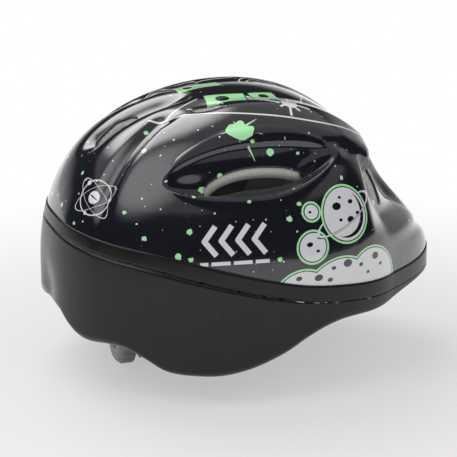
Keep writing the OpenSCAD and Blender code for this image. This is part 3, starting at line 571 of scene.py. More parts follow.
def roll_in(mesh, vent, edges, roll):
    """Rolls the loop inwards and returns its last ring, with the sides that lead to the next."""
    mesh.normal_update()
    rim = {v for e in edges for v in e.verts}
    step = 0.2
    frames = {}
    for v in rim:
        p = np.array(v.co) / MM
        slope = np.array([vent.distance(p + step * np.eye(3)[k]) - vent.distance(p - step * np.eye(3)[k])
                          for k in range(3)])
        normal = v.normal.copy()
        inwards = Vector(-slope)
        inwards = (inwards - inwards.dot(normal) * normal).normalized()
        frames[v] = (v.co.copy(), normal, inwards)
    above = {v: v for v in rim}
    faces = [(e, e.link_loops[0].vert, e.link_loops[0].link_loop_next.vert) for e in edges]
    for k in range(1, ROLL_STEPS + 1):
        turn = math.pi / 2 * k / ROLL_STEPS
        ring = {}
        for v, (co, normal, inwards) in frames.items():
            place = co + roll * MM * (math.sin(turn) * inwards - (1 - math.cos(turn)) * normal)
            ring[v] = mesh.verts.new(place)
        for _, a, b in faces:
            mesh.faces.new((above[b], above[a], ring[a], ring[b])).smooth = True
        above = ring
    return above, [(a, b) for _, a, b in faces]


mesh = bmesh.new()
mesh.from_mesh(upper_shell.data)
for vent in vents():
    rim_edges = cut_vent(mesh, vent, ROLL_R)
    roll_in(mesh, vent, rim_edges, ROLL_R)
    print("vent with", len(rim_edges), "rim edges")
mesh.to_mesh(upper_shell.data)
mesh.free()
smooth(upper_shell)
apply_modifier(upper_shell, "SOLIDIFY", thickness=UPPER_WALL * MM, offset=-1)
dress(upper_shell, "helmet", "upper_shell", "glossy_shell")

# %% [markdown]
# ## Lower shell and joint tape
#
# Both are bands that go round the helmet. A plane grid is the start: its long way becomes the angle and
# its short way the height, and the two ends are merged. The rows crowd together at the lower edge,
# because the shell curls in there. The wall's thickness is a Solidify modifier.


# %% A band from a plane grid
def band_from_grid(name, rows, place):
    clear_selection()
    bpy.ops.mesh.primitive_grid_add(x_subdivisions=AROUND, y_subdivisions=rows, size=1)
    piece = bpy.context.object
    piece.name = name
    co = coordinates(piece)
    set_coordinates(piece, place((co[:, 0] + 0.5) * 360, co[:, 1] + 0.5) * MM)
    bpy.ops.object.mode_set(mode="EDIT")
    bpy.ops.mesh.select_all(action="SELECT")
    bpy.ops.mesh.remove_doubles(threshold=0.00002)
    bpy.ops.mesh.normals_make_consistent(inside=False)
    bpy.ops.object.mode_set(mode="OBJECT")
    smooth(piece)
    return piece


def curl_in(up, span):
    """How far the lower edge rolls in at a height over it. A narrow band rolls less."""
    near = np.minimum(1, up / EDGE_ROLL)
    return EDGE_ROLL * (1 - np.sqrt(1 - (1 - near) ** 2)) * fade(span, 4, 20)


def lower_place(angle, share):
    edge, joint = along(EDGE, turned(angle)), along(JOINT, turned(angle))
    up = (joint - edge) * share ** 2
    return skin(angle, edge + up, curl_in(up, joint - edge) - LOWER_STEP)


def tape_place(angle, share):
    height = TAPE_HEIGHT * (1 - 0.28 * fade(turned(angle), 110, 180))
    low = along(JOINT, turned(angle)) + SKIN_GAP
    return skin(angle, low + share * height, -TAPE_GAP - TAPE_WALL)


lower_shell = band_from_grid("lower_shell_skin", 44, lower_place)
apply_modifier(lower_shell, "SOLIDIFY", thickness=LOWER_WALL * MM, offset=-1)
seam_tape = band_from_grid("joint_tape", 6, tape_place)
apply_modifier(seam_tape, "SOLIDIFY", thickness=TAPE_WALL * MM, offset=-1)
dress(lower_shell, "helmet", "lower_shell", "satin_shell")
dress(seam_tape, "helmet", "seam_tape", "tape")

# %% [markdown]
# ## Foam liner
#
# The liner is moulded from beads of polystyrene. Outside it follows the shells, 1.5 mm in, and inside it
# is an upright tube under half an ellipsoid, cut out with a boolean. At each vent the foam reaches a
# little further in than the shell, with a well-rounded edge. The same cut and roll make that edge, with
# a bigger radius, and the loop is then carried on as a tunnel that ends inside the head space. Under the
# steep lower lip of each scoop the foam stands back a little more, so that it stays behind the shell.

# %% Half a sphere again, with rows that go down to the foam's lower face
FOAM_INSET = LOWER_WALL - LOWER_STEP + SKIN_GAP
FOAM_LIFT, FOAM_RIM, FOAM_ROLL = 5, 1.5, 4
FOAM_LOW_ROWS, ROW_DROP = 10, 0.1
STEEP_SINK, STEEP_AT, STEEP_WIDE = 2.2, 1.05, 0.45
HEAD_W, HEAD_L, HEAD_H, HEAD_Y = 156, 192, 138, 10
HEAD_HALVES = (HEAD_W / 2, HEAD_L / 2, HEAD_H - WAIST)
foam = half_sphere("foam_moulding", AROUND, ROWS)
bpy.ops.mesh.select_all(action="DESELECT")
bpy.ops.mesh.select_non_manifold()
for _ in range(FOAM_LOW_ROWS):
    bpy.ops.mesh.extrude_region_move(TRANSFORM_OT_translate={"value": (0, 0, -ROW_DROP)})
bpy.ops.mesh.extrude_region_move(TRANSFORM_OT_translate={"value": (0, 0, -ROW_DROP)})
bpy.ops.mesh.merge(type="CENTER")
bpy.ops.object.mode_set(mode="OBJECT")


def lay_foam(co):
    angle = np.degrees(np.arctan2(co[:, 0], -co[:, 1])) % 360
    edge, joint = along(EDGE, turned(angle)), along(JOINT, turned(angle))
    rise = np.clip(co[:, 2], 0, 1)
    upper = skin(angle, np.minimum(HEIGHT - 1e-4, joint + (HEIGHT - joint) * rise), FOAM_INSET)
    across, half, _ = scoop_place(upper)
    sink = STEEP_SINK * bump(across - STEEP_AT, STEEP_WIDE) * fade(half, 0, 6)
    upper -= sink[:, None] * outward(upper)
    share = np.clip(1 + co[:, 2] / (ROW_DROP * FOAM_LOW_ROWS), 0, 1)
    span = joint - edge
    start = np.minimum(FOAM_LIFT, 0.3 * span)
    up = start + (span - start) * share
    lower = skin(angle, edge + up, FOAM_INSET + curl_in(up, span))
    place = np.where((co[:, 2] >= 0)[:, None], upper, lower)
    centre = np.hypot(co[:, 0], co[:, 1]) < 1e-6
    place[centre & (co[:, 2] > 0)] = skin([0.0], [HEIGHT - 1e-4], FOAM_INSET)[0]
    place[centre & (co[:, 2] < 0)] = (0, HEAD_Y, 20)
    return place


set_coordinates(foam, lay_foam(coordinates(foam)) * MM)
print("foam blank:", len(foam.data.polygons), "faces")


# %% Vents of the foam
def tunnel(mesh, vent, ring, sides):
    """Carries the vent's last ring on in a straight line, and closes its far end."""
    shift = Vector(vent.inwards * vent.reach * MM)
    far = {v: mesh.verts.new(v.co + shift) for v in ring.values()}
    centre = mesh.verts.new(sum((v.co for v in far.values()), Vector()) / len(far))
    for a, b in sides:
        mesh.faces.new((ring[b], ring[a], far[ring[a]], far[ring[b]])).smooth = True
        mesh.faces.new((far[ring[b]], far[ring[a]], centre))


mesh = bmesh.new()
mesh.from_mesh(foam.data)
for vent in vents():
    vent.centre += vent.across * vent.foam_drop
    rim_edges = cut_vent(mesh, vent, FOAM_ROLL - FOAM_RIM)
    tunnel(mesh, vent, *roll_in(mesh, vent, rim_edges, FOAM_ROLL))
mesh.to_mesh(foam.data)
mesh.free()
smooth(foam)
print("foam with tunnels:", len(foam.data.polygons), "faces")

# %% The head space, as a cutter
HEAD_AROUND, HEAD_ROWS, TUBE_DOWN = 144, 60, 0.9
head = half_sphere("head_cutter", HEAD_AROUND, HEAD_ROWS, 0)
bpy.ops.mesh.select_all(action="DESELECT")
bpy.ops.mesh.select_non_manifold()
bpy.ops.mesh.extrude_region_move(TRANSFORM_OT_translate={"value": (0, 0, -TUBE_DOWN)})
bpy.ops.mesh.edge_face_add()
bpy.ops.object.mode_set(mode="OBJECT")
set_coordinates(head, (coordinates(head) * HEAD_HALVES + (0, HEAD_Y, WAIST)) * MM)
smooth(head)
apply_modifier(foam, "BOOLEAN", object=head, operation="DIFFERENCE", solver="MANIFOLD")
bpy.data.objects.remove(head)
smooth(foam, 40)
dress(foam, "helmet", "foam_liner", "foam")

# %% [markdown]
# ## Comfort pads
#
# Each pad is foam between two cloths, welded together along a flat edge. The blank is a grid laid along
# the wall of the head space. The welded edge is one thin sheet, and the cushion on it is blown up by the
# cloth simulation, from a slightly smaller shape, so that its crown comes from the fabric and not from
# a formula. The movement is capped, because the pads are only 6 mm thick. Pressed channels come last.


# %% Places along the wall and the roof of the head space
def wall(angle, latitude, inset):
    a, b = np.radians(angle), np.radians(latitude)
    return np.stack([(HEAD_W / 2 - inset) * np.sin(a) * np.cos(b),
                     HEAD_Y - (HEAD_L / 2 - inset) * np.cos(a) * np.cos(b),
                     WAIST + (HEAD_H - WAIST - inset) * np.sin(b) + 0 * a], -1)


def roof(x, y, inset):
    u, v = x / (HEAD_W / 2 - inset), (y - HEAD_Y) / (HEAD_L / 2 - inset)
    return np.stack([x, y, WAIST + (HEAD_H - WAIST - inset) * np.sqrt(1 - u * u - v * v)], -1)


def nape(x, z, inset):
    return np.stack([x, HOUSING_Y - SKIN_GAP - inset + 0 * x, z], -1)


HOUSING_Y, DIAL_Z = 66, -1
HOOK_WALL = 1
PAD_BACK, PAD_THICK = 2 * SKIN_GAP + HOOK_WALL, 6
PAD_EDGE, PAD_EDGE_WALL, PAD_VOXEL, PAD_SWELL = 2.6, 0.9, 0.0026, 0.0013
# name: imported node, body, place rule, its area, distance of the back face, size in mm, pressed channels
PADS = {"brow_cushion": ("brow_pad", "helmet", wall, (-44, 44, 6, 24), PAD_BACK, (138, 29), 3),
        "crown_cushion": ("crown_pad", "helmet", roof, (-23, 23, -38, 16), PAD_BACK, (46, 56), 1),
        "side_cushion_left": ("side_pad_left", "helmet", wall, (63, 117, 14, 35), PAD_BACK, (80, 33), 2),
        "side_cushion_right": ("side_pad_right", "helmet", wall, (-117, -63, 14, 35), PAD_BACK, (80, 33), 2),
        "rear_cushion_left": ("rear_pad_left", "helmet", wall, (134, 162, 14, 33), PAD_BACK, (42, 31), 1),
        "rear_cushion_right": ("rear_pad_right", "helmet", wall, (-162, -134, 14, 33), PAD_BACK, (42, 31), 1),
        "nape_cushion": ("nape_pad", "cradle", nape, (22, -22, DIAL_Z - 8.7, DIAL_Z + 8.7), 0, (44, 17), 0)}
CHANNEL, CHANNEL_DEEP = 1.3, 1.5
CUSHION_LOW, CUSHION_THICK, CUSHION_STEP = 1.0, PAD_THICK - 2.6, 3
WELD_MARGIN, WELD_LOW, WELD_STEP = 0.2, 0.1, 1.6
CLOTH_FRAMES, CLOTH_PRESSURE = 20, 4


def pad_sheet(name, rule, area, size, margin, low, thick, step):
    columns, rows = (round(length / step) for length in size)
    clear_selection()
    bpy.ops.mesh.primitive_grid_add(x_subdivisions=columns, y_subdivisions=rows, size=2)
    piece = bpy.context.object
    piece.name = name
    co = coordinates(piece) * (1 - 2 * margin / size[0], 1 - 2 * margin / size[1], 1)
    u, v = co[:, 0], co[:, 1]
    s, t = u * np.sqrt(1 - 0.3 * v * v), v * np.sqrt(1 - 0.3 * u * u)
    first = (area[0] + area[1] + s * (area[1] - area[0])) / 2
    second = (area[2] + area[3] + t * (area[3] - area[2])) / 2
    set_coordinates(piece, rule(first, second, low) * MM)
    flat = coordinates(piece)
    inner = rule(first, second, low + 1) * MM
    inwards = Vector((inner - flat).mean(0))
    if sum(face.normal.dot(inwards) for face in piece.data.polygons) < 0:
        flip(piece)
    apply_modifier(piece, "SOLIDIFY", thickness=thick * MM, offset=1)
    return piece


print(len(PADS), "pads along the wall")

# %% Blow the cushions up together, then weld each to its edge
cushions = {}
for name, (node, body, rule, area, low, size, channels) in PADS.items():
    blank = pad_sheet(name, rule, area, size, PAD_EDGE, low + CUSHION_LOW, CUSHION_THICK, CUSHION_STEP)
    apply_modifier(blank, "REMESH", mode="VOXEL", voxel_size=PAD_VOXEL)
    cushions[name] = blank
before = {name: coordinates(piece) for name, piece in cushions.items()}
for piece in cushions.values():
    cloth = piece.modifiers.new("cloth", "CLOTH")
    cloth.settings.quality = 4
    cloth.settings.use_pressure = True
    cloth.settings.uniform_pressure_force = CLOTH_PRESSURE
    cloth.settings.effector_weights.gravity = 0
for number in range(1, CLOTH_FRAMES + 1):
    bpy.context.scene.frame_set(number)
for name, piece in cushions.items():
    take(piece)
    bpy.ops.object.modifier_apply(modifier="cloth")
    move = coordinates(piece) - before[name]
    far = np.linalg.norm(move, axis=1, keepdims=True)
    move *= np.minimum(1, PAD_SWELL / np.maximum(far, 1e-9))
    set_coordinates(piece, before[name] + move)
    print(name, "moved up to", round(float(far.max()) * 1000, 1), "mm before the cap")

for name, (node, body, rule, area, low, size, channels) in PADS.items():
    piece = cushions[name]
    apply_modifier(piece, "SUBSURF", levels=1, render_levels=1)
    co = coordinates(piece) / MM
    centre = np.array([(area[0] + area[1]) / 2]), np.array([(area[2] + area[3]) / 2])
    ends = rule(np.array(area[:2], float), np.repeat(centre[1], 2), low + PAD_THICK / 2)
    span = np.linalg.norm(ends[1] - ends[0])
    axis = (ends[1] - ends[0]) / span
    middle = ends.mean(0)
    back, front = rule(*centre, low)[0], rule(*centre, low + PAD_THICK)[0]
    press = (back - front) / np.linalg.norm(back - front)
    for k in range(channels):
        along_pad = ((k + 1) / (channels + 1) - 0.5) * span
        near = np.exp(-(((co - middle) @ axis - along_pad) / CHANNEL) ** 2)
        co += (near * CHANNEL_DEEP)[:, None] * press * ((co - back) @ -press > PAD_THICK * 0.3)[:, None]
    set_coordinates(piece, co * MM)
    edge = pad_sheet(name + "_edge", rule, area, size, WELD_MARGIN, low + WELD_LOW, PAD_EDGE_WALL, WELD_STEP)
    break_edges(edge, 0.3)
    clear_selection()
    edge.select_set(True)
    piece.select_set(True)
    bpy.context.view_layer.objects.active = piece
    bpy.ops.object.join()
    smooth(piece, 50)
    dress(piece, body, node, "pad_cloth")

# %% [markdown]
# ## Harness
#
# Webbing is flat, so each strap is a grid laid along its route, given its thickness and softened along
# its edges. Its UV map is in millimetres of length and width, and the weave follows it round every fold.


# %% Webbing
WEB_W, WEB_T = 15, 1.5
ANCHOR_ANGLES, ANCHOR_Z = (48, 132), 41
CHIN_Z, FOLD_PITCH = 4.5, 4.5
SLIDER_Z = CHIN_Z + 2 * FOLD_PITCH
SLIDER_GAP, SLIDER_WALL, SLIDER_DEEP = 1.2, 1.3, 11
STRAP_GAP, STRAP_LOW = 1.6 * SKIN_GAP, SLIDER_GAP + SLIDER_WALL + SKIN_GAP


def webbing(name, length, rule, node, outwards):
    clear_selection()
    bpy.ops.mesh.primitive_grid_add(x_subdivisions=round(length / 1.5), y_subdivisions=6, size=1)
    piece = bpy.context.object
    piece.name = name
    share = coordinates(piece)[:, :2] + 0.5
    uv = piece.data.uv_layers[0].data
    for loop in piece.data.loops:
        uv[loop.index].uv = share[loop.vertex_index] * (length, WEB_W)
    set_coordinates(piece, rule(share[:, 0], (share[:, 1] - 0.5) * WEB_W) * MM)
    turn_towards(piece, outwards)
    apply_modifier(piece, "SOLIDIFY", thickness=WEB_T * MM, offset=0)
    break_edges(piece, 0.4)
    smooth(piece, 50)
    dress(piece, "helmet", node, "webbing")
    return piece


def turn_towards(piece, outwards):
    """Flips the sheet if its first face looks away from that direction."""
    if piece.data.polygons[0].normal.dot(Vector(outwards)) < 0:
        flip(piece)


# %% The four straps riveted to the wall
def wall_strap(start, side):
    """A strap that lies on the wall, from its rivet at an angle down to the side's slider."""
    to = 90 + (-2.6 if start < 90 else 2.6)
    lean = 1 if start < 90 else -1
    run = math.radians(abs(to - start)) * HEAD_L / 2 * 0.92
    fall = ANCHOR_Z - SLIDER_Z
    steep = math.atan2(fall, run)

    def rule(share, across):
        s = -0.12 + 1.12 * share
        angle = start + (to - start) * s + lean * across * math.sin(steep) * -0.62
        inset = STRAP_GAP + (STRAP_LOW - STRAP_GAP) * fade(s, 0.2, 0.8) + WEB_T / 2
        place = wall(angle, 0, inset)
        place[:, 2] = ANCHOR_Z - fall * s - across * math.cos(steep)
        return place * (side, 1, 1)

    return rule, math.hypot(run, fall)


for side, word in ((1, "left"), (-1, "right")):
    for start, part in zip(ANCHOR_ANGLES, ("front", "rear")):
        rule, length = wall_strap(start, side)
        webbing(part + "_webbing_" + word, length, rule, "strap_" + part + "_" + word, (-side, 0, 0))


# %% The two chin straps, folded twice
def folded(side, inner_end, fold_in, fold_out=60):
    """A strap from the slider inwards, back out below itself, and in again to the buckle."""
    outer_end = HEAD_W / 2 - SLIDER_DEEP + 4
    bend = FOLD_PITCH / 2
    turn = np.linspace(0, math.pi, 13)
    inner = [(fold_in - bend * math.sin(a), SLIDER_Z - bend + bend * math.cos(a)) for a in turn]
    outer = [(fold_out + bend * math.sin(a), CHIN_Z + bend + bend * math.cos(a)) for a in turn]
    route = np.array([(outer_end, SLIDER_Z)] + inner + outer + [(inner_end, CHIN_Z)])
    steps = np.concatenate([[0], np.cumsum(np.hypot(*np.diff(route, axis=0).T))])

    def rule(share, across):
        s = share * steps[-1]
        return np.stack([side * np.interp(s, steps, route[:, 0]), HEAD_Y + across,
                         np.interp(s, steps, route[:, 1])], -1)

    return rule, steps[-1]


CLIP_END, SOCKET_END = 22, 30
for side, word, end in ((1, "left", CLIP_END), (-1, "right", SOCKET_END)):
    rule, length = folded(side, end - 4, end + FOLD_PITCH + WEB_T)
    webbing("chin_webbing_" + word, length, rule, "chin_strap_" + word, (0, 0, 1))
    print("chin strap", word, round(length), "mm of webbing")

# %% [markdown]
# ## Moulded and metal pieces
#
# The dial, its housing, the racks, the headband, the buckle and the small hardware keep the packed
# shape, because they have to fit each other. A moulding never has a sharp edge, though, so each is
# copied, its loose triangles are merged, and a Bevel modifier breaks every edge by a few tenths of a
# millimetre. The highlights along those edges are what makes them read as moulded plastic.


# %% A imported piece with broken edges
def moulded(name, node, body, finish, edge, segments=2, angle=35):
    clear_selection()
    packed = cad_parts[node]
    piece = bpy.data.objects.new(name, packed.data.copy())
    bpy.context.collection.objects.link(piece)
    piece.matrix_world = packed.matrix_world
    take(piece)
    bpy.ops.object.transform_apply(location=True, rotation=True, scale=True)
    bpy.ops.object.mode_set(mode="EDIT")
    bpy.ops.mesh.select_all(action="SELECT")
    bpy.ops.mesh.remove_doubles(threshold=0.000005)
    bpy.ops.mesh.dissolve_limited(angle_limit=math.radians(0.5))
    bpy.ops.object.mode_set(mode="OBJECT")
    break_edges(piece, edge, segments, angle)
    smooth(piece, 35)
    dress(piece, body, node, finish)
    return piece


# name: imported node, body, finish, how much the edges are broken in mm
MOULDED = {"knob_moulding": ("dial_knob", "dial", "grey_nylon", 0.5),
           "knob_screw": ("dial_screw", "dial", "steel", 0.12),
           "drive_pinion": ("pinion", "dial", "grey_nylon", 0.12),
           "case_front": ("housing_front", "cradle", "smoke_nylon", 0.3),
           "case_rear": ("housing_rear", "cradle", "smoke_nylon", 0.4),
           "case_screws": ("housing_screws", "cradle", "steel", 0.12),
           "click_track": ("click_ring", "cradle", "smoke_nylon", 0.15),
           "rack_bar_left": ("rack_left", "rack_left", "grey_nylon", 0.15),
           "rack_bar_right": ("rack_right", "rack_right", "grey_nylon", 0.15),
           "band_arm_left": ("headband_left", "cradle", "smoke_nylon", 0.4),
           "band_arm_right": ("headband_right", "cradle", "smoke_nylon", 0.4),
           "temple_pegs": ("temple_pins", "helmet", "smoke_nylon", 0.3),
           "strap_rivets": ("strap_anchors", "helmet", "black_nylon", 0.4),
           "hook_tabs": ("hook_patches", "helmet", "hook_cloth", 0.2),
           "slider_left": ("side_slider_left", "helmet", "black_nylon", 0.6),
           "slider_right": ("side_slider_right", "helmet", "black_nylon", 0.6),
           "buckle_body": ("buckle_socket", "helmet", "black_nylon", 0.8),
           "buckle_tongue": ("buckle_clip", "helmet", "black_nylon", 0.5),
           "buckle_prong_front": ("prong_front", "prong_front", "black_nylon", 0.3),
           "buckle_prong_rear": ("prong_rear", "prong_rear", "black_nylon", 0.3),
           "keeper_loop": ("strap_keeper", "strap_keeper", "black_nylon", 0.5)}
for name, (node, body, finish, edge) in MOULDED.items():
    moulded(name, node, body, finish, edge)

# %% Chin pad: a soft sleeve, whose ends keep the hole for the strap
chin_sleeve = moulded("chin_sleeve", "chin_pad", "helmet", "pad_cloth", 0.9, segments=4, angle=50)

# %% [markdown]
# ## Finishes
#
# Several finishes share an effect, such as a fine moulded grain, a weave, or a faint change of tone. Each
# effect is a shader node group, built once. A group gives out only a height, a mask or a tone. Bump and
# the Principled shader stay in each material, where the values that belong to one finish are set.


# %% Helper for node groups
def new_group(name, vectors, numbers, outputs):
    """A group that takes some vectors and some numbers in, and gives numbers out."""
    group = bpy.data.node_groups.new(name, "ShaderNodeTree")
    for direction, kind, titles in (("INPUT", "Vector", vectors), ("INPUT", "Float", numbers),
                                    ("OUTPUT", "Float", outputs)):
        for title in titles:
            group.interface.new_socket(title, in_out=direction, socket_type="NodeSocket" + kind)
    return group, put(group, "NodeGroupInput").outputs, put(group, "NodeGroupOutput").inputs


def use(tree, group, feeds):
    return put(tree, "ShaderNodeGroup", feeds, node_tree=group).outputs


def in_millimetres(tree):
    return scaled_by(tree, object_coordinates(tree), 1000.0)


def noise(tree, place, scale, detail=2.0):
    feeds = {"Vector": place, "Scale": scale, "Detail": detail}
    return put(tree, "ShaderNodeTexNoise", feeds).outputs["Fac"]


def bump_from(tree, height, distance, strength=1.0, normal=None):
    feeds = {"Height": height, "Distance": distance, "Strength": strength}
    if normal:
        feeds["Normal"] = normal
    return put(tree, "ShaderNodeBump", feeds).outputs[0]


# %% Moulded grain: a fine leathery height with a slow change of tone
grain, given, gives = new_group("moulded_grain", ["Place"], ["Cell"], ["Height", "Tone"])
scaled = scaled_by(grain, given["Place"], math_node(grain, "DIVIDE", 1, given["Cell"]))
cells = put(grain, "ShaderNodeTexVoronoi", {"Vector": scaled, "Scale": 1.0}, feature="SMOOTH_F1")
fine = noise(grain, scaled, 2.2)
grain.links.new(math_node(grain, "MULTIPLY_ADD", fine, 0.6, cells.outputs["Distance"]), gives["Height"])
grain.links.new(noise(grain, given["Place"], 0.035, 3), gives["Tone"])

# %% Scuffs: sparse fine scratches and rubbed spots, as a mask
scuffs, given, gives = new_group("handling_marks", ["Place"], ["Amount"], ["Mask"])
drawn = vector_math(scuffs, "MULTIPLY", given["Place"], (0.5, 0.09, 0.5))
streak = noise(scuffs, drawn, 1.6, 4)
patch = noise(scuffs, given["Place"], 0.05, 2)
thin = math_node(scuffs, "COMPARE", streak, 0.5, 0.006)
where = math_node(scuffs, "GREATER_THAN", patch, 0.56)
marked = math_node(scuffs, "MULTIPLY", thin, where)
scuffs.links.new(math_node(scuffs, "MULTIPLY", marked, given["Amount"]), gives["Mask"])

# %% Plain weave: two sets of threads that pass over and under each other
weave, given, gives = new_group("plain_weave", [], ["U", "V", "Warp", "Weft"], ["Height", "Thread"])
across_warp = math_node(weave, "DIVIDE", given["U"], given["Warp"])
across_weft = math_node(weave, "DIVIDE", given["V"], given["Weft"])


def ridge(tree, value):
    return math_node(tree, "ABSOLUTE", math_node(tree, "SINE", math_node(tree, "MULTIPLY", value, math.pi)))


passed = [math_node(weave, "FLOOR", across) for across in (across_warp, across_weft)]
over = math_node(weave, "FRACT", math_node(weave, "MULTIPLY", math_node(weave, "ADD", *passed), 0.5))
warp_up = math_node(weave, "LESS_THAN", over, 0.25)
warp_ridge, weft_ridge = ridge(weave, across_warp), ridge(weave, across_weft)
warp_high = math_node(weave, "MULTIPLY", warp_ridge, math_node(weave, "MULTIPLY_ADD", weft_ridge, 0.5, 0.5))
weft_high = math_node(weave, "MULTIPLY", weft_ridge, math_node(weave, "MULTIPLY_ADD", warp_ridge, 0.5, 0.5))
weave.links.new(mix_numbers(weave, warp_up, weft_high, warp_high), gives["Height"])
weave.links.new(warp_up, gives["Thread"])
print("three shared effects")

# %% [markdown]
# ### The print
#
# The shell carries a printed pattern under its clear coat: splashes of mint ink, white specks, a white
# border line, and line drawings of planets, orbits and arrows. All of it is worked out as distances in
# millimetres. A disc, a bar or a splash is a distance to its outline, negative inside, and the smallest
# of several distances is their union. A drawing is laid out on a flat panel that touches the shell at a
# point and reads only the two directions in that panel, so it lies on the curved shell without a stretch.
# The left side mirrors the right one, and the drawing on the crown is made once.

# %% Distances to printed shapes
EDGE_BLUR = 0.12


def own_axes(tree, given):
    """Lengths along and across a shape, from its middle and in its own turned directions."""
    du = math_node(tree, "SUBTRACT", given["U"], given["X"])
    dv = math_node(tree, "SUBTRACT", given["V"], given["Y"])
    cosine, sine = math_node(tree, "COSINE", given["Turn"]), math_node(tree, "SINE", given["Turn"])
    long = math_node(tree, "MULTIPLY_ADD", du, cosine, math_node(tree, "MULTIPLY", dv, sine))
    back = math_node(tree, "MULTIPLY", math_node(tree, "MULTIPLY", du, sine), -1)
    return long, math_node(tree, "MULTIPLY_ADD", dv, cosine, back)


oval, given, gives = new_group("oval_distance", [], ["U", "V", "X", "Y", "Radius", "Squash", "Turn"],
                               ["Distance"])
long, short = own_axes(oval, given)
short = math_node(oval, "MULTIPLY", short, given["Squash"])
square = math_node(oval, "MULTIPLY_ADD", long, long, math_node(oval, "MULTIPLY", short, short))
from_middle = math_node(oval, "SQRT", square)
oval.links.new(math_node(oval, "SUBTRACT", from_middle, given["Radius"]), gives["Distance"])

bar, given, gives = new_group("bar_distance", [], ["U", "V", "X", "Y", "Half length", "Half width", "Turn"],
                              ["Distance"])
long, short = own_axes(bar, given)
over_long = math_node(bar, "SUBTRACT", math_node(bar, "ABSOLUTE", long), given["Half length"])
over_short = math_node(bar, "SUBTRACT", math_node(bar, "ABSOLUTE", short), given["Half width"])
bar.links.new(math_node(bar, "MAXIMUM", over_long, over_short), gives["Distance"])

drip, given, gives = new_group("drip_distance", ["Place", "Start", "End"], ["Thick", "Thin"], ["Distance"])
away = vector_math(drip, "SUBTRACT", given["Place"], given["Start"])
span = vector_math(drip, "SUBTRACT", given["End"], given["Start"])
share = math_node(drip, "DIVIDE", vector_math(drip, "DOT_PRODUCT", away, span, output="Value"),
                  vector_math(drip, "DOT_PRODUCT", span, span, output="Value"), clamp=True)
gap = vector_math(drip, "DISTANCE", away, scaled_by(drip, span, share), output="Value")
width = put(drip, "ShaderNodeMapRange", {"Value": share, "To Min": given["Thick"], "To Max": given["Thin"]})
drip.links.new(math_node(drip, "SUBTRACT", gap, width.outputs[0]), gives["Distance"])
print("distance groups ready")


# %% Combining distances
def union(tree, distances):
    distances = list(distances)
    while len(distances) > 1:
        pairs = [math_node(tree, "MINIMUM", a, b) for a, b in zip(distances[::2], distances[1::2])]
        distances = pairs + distances[len(distances) // 2 * 2:]
    return distances[0]


def without(tree, body, hole):
    return math_node(tree, "MAXIMUM", body, math_node(tree, "MULTIPLY", hole, -1))


def outline(tree, distance, line):
    return math_node(tree, "SUBTRACT", math_node(tree, "ABSOLUTE", distance), line / 2)


def inked(tree, distance, blur=EDGE_BLUR):
    feeds = {"Value": distance, "From Min": blur, "From Max": -blur}
    return put(tree, "ShaderNodeMapRange", feeds).outputs[0]


class Panel:
    """A flat drawing board that touches the shell at a point, with its own two directions in mm."""

    def __init__(self, tree, place, angle, z, reach):
        near = skin([angle, angle + 1, angle], [z, z, z + 1])
        right = (near[0] - near[1]) / np.linalg.norm(near[0] - near[1])
        up = near[2] - near[0]
        up -= right * (up @ right)
        up /= np.linalg.norm(up)
        away = vector_math(tree, "SUBTRACT", place, tuple(near[0] * (-1 if near[0][0] > 0 else 1, 1, 1)))
        self.tree = tree
        self.u = vector_math(tree, "DOT_PRODUCT", away, tuple(right), output="Value")
        self.v = vector_math(tree, "DOT_PRODUCT", away, tuple(up), output="Value")
        self.near = math_node(tree, "SUBTRACT", vector_math(tree, "LENGTH", away, output="Value"), reach)

    def disc(self, x, y, radius, squash=1.0, turn=0.0):
        return use(self.tree, oval, {"U": self.u, "V": self.v, "X": x, "Y": y, "Radius": radius,
                                     "Squash": squash, "Turn": math.radians(turn)})["Distance"]

    def bar(self, x, y, length, width, turn=0.0):
        return use(self.tree, bar, {"U": self.u, "V": self.v, "X": x, "Y": y, "Half length": length / 2,
                                    "Half width": width / 2, "Turn": math.radians(turn)})["Distance"]

    def only_here(self, distance):
        return math_node(self.tree, "MAXIMUM", distance, self.near)


print("panels ready")


# %% Line drawings, each on its panel
def moonscape(tree, place):
    """Planets over pale ground at the front of each side: (pale ink, mint ink)."""
    panel = Panel(tree, place, 297, 86, 58)
    planets = [panel.disc(-1, 12, 17), panel.disc(27, -4, 9), panel.disc(24, 18, 4.6)]
    ground = [panel.disc(-20, -32, 21, 1.15, 12), panel.disc(10, -37, 26, 1.2, -8),
              panel.disc(36, -33, 17, 1.15)]
    body = union(tree, planets + ground)
    craters = [(5, 18, 3.4), (-7, 19, 2.0), (-4, 8, 2.8), (4, 9, 1.4), (-11, 11, 1.6), (1, 23, 1.3),
               (29, -2, 2.1), (24, -7, 1.3), (25, 18, 1.1), (-22, -19, 3.2), (-8, -22, 1.8), (3, -19, 3.4),
               (14, -20, 1.7), (25, -24, 2.9), (-27, -25, 1.6), (38, -22, 2.0), (17, -27, 1.9),
               (-14, -28, 1.5)]
    pits = union(tree, [panel.disc(x, y, r, 1.4) for x, y, r in craters])
    belt_oval = panel.disc(-1, 12, 25, 3.8, -22)
    belt, split = outline(tree, belt_oval, 2.2), outline(tree, belt_oval, 4.4)
    shade = without(tree, panel.disc(-1, 12, 15.2), panel.disc(2, 14, 15.8))
    behind = without(tree, belt, panel.disc(-1, 12, 18.4))
    near_side = panel.bar(-4.2, 4.2, 70, 15.6, -22)
    front = math_node(tree, "MAXIMUM", belt, near_side)
    gaps = union(tree, [pits, shade, math_node(tree, "MAXIMUM", split, near_side)])
    pale = union(tree, [without(tree, body, gaps), behind, front])
    rims = outline(tree, math_node(tree, "SUBTRACT", body, 1.4), 1.3)
    return panel.only_here(pale), panel.only_here(rims)


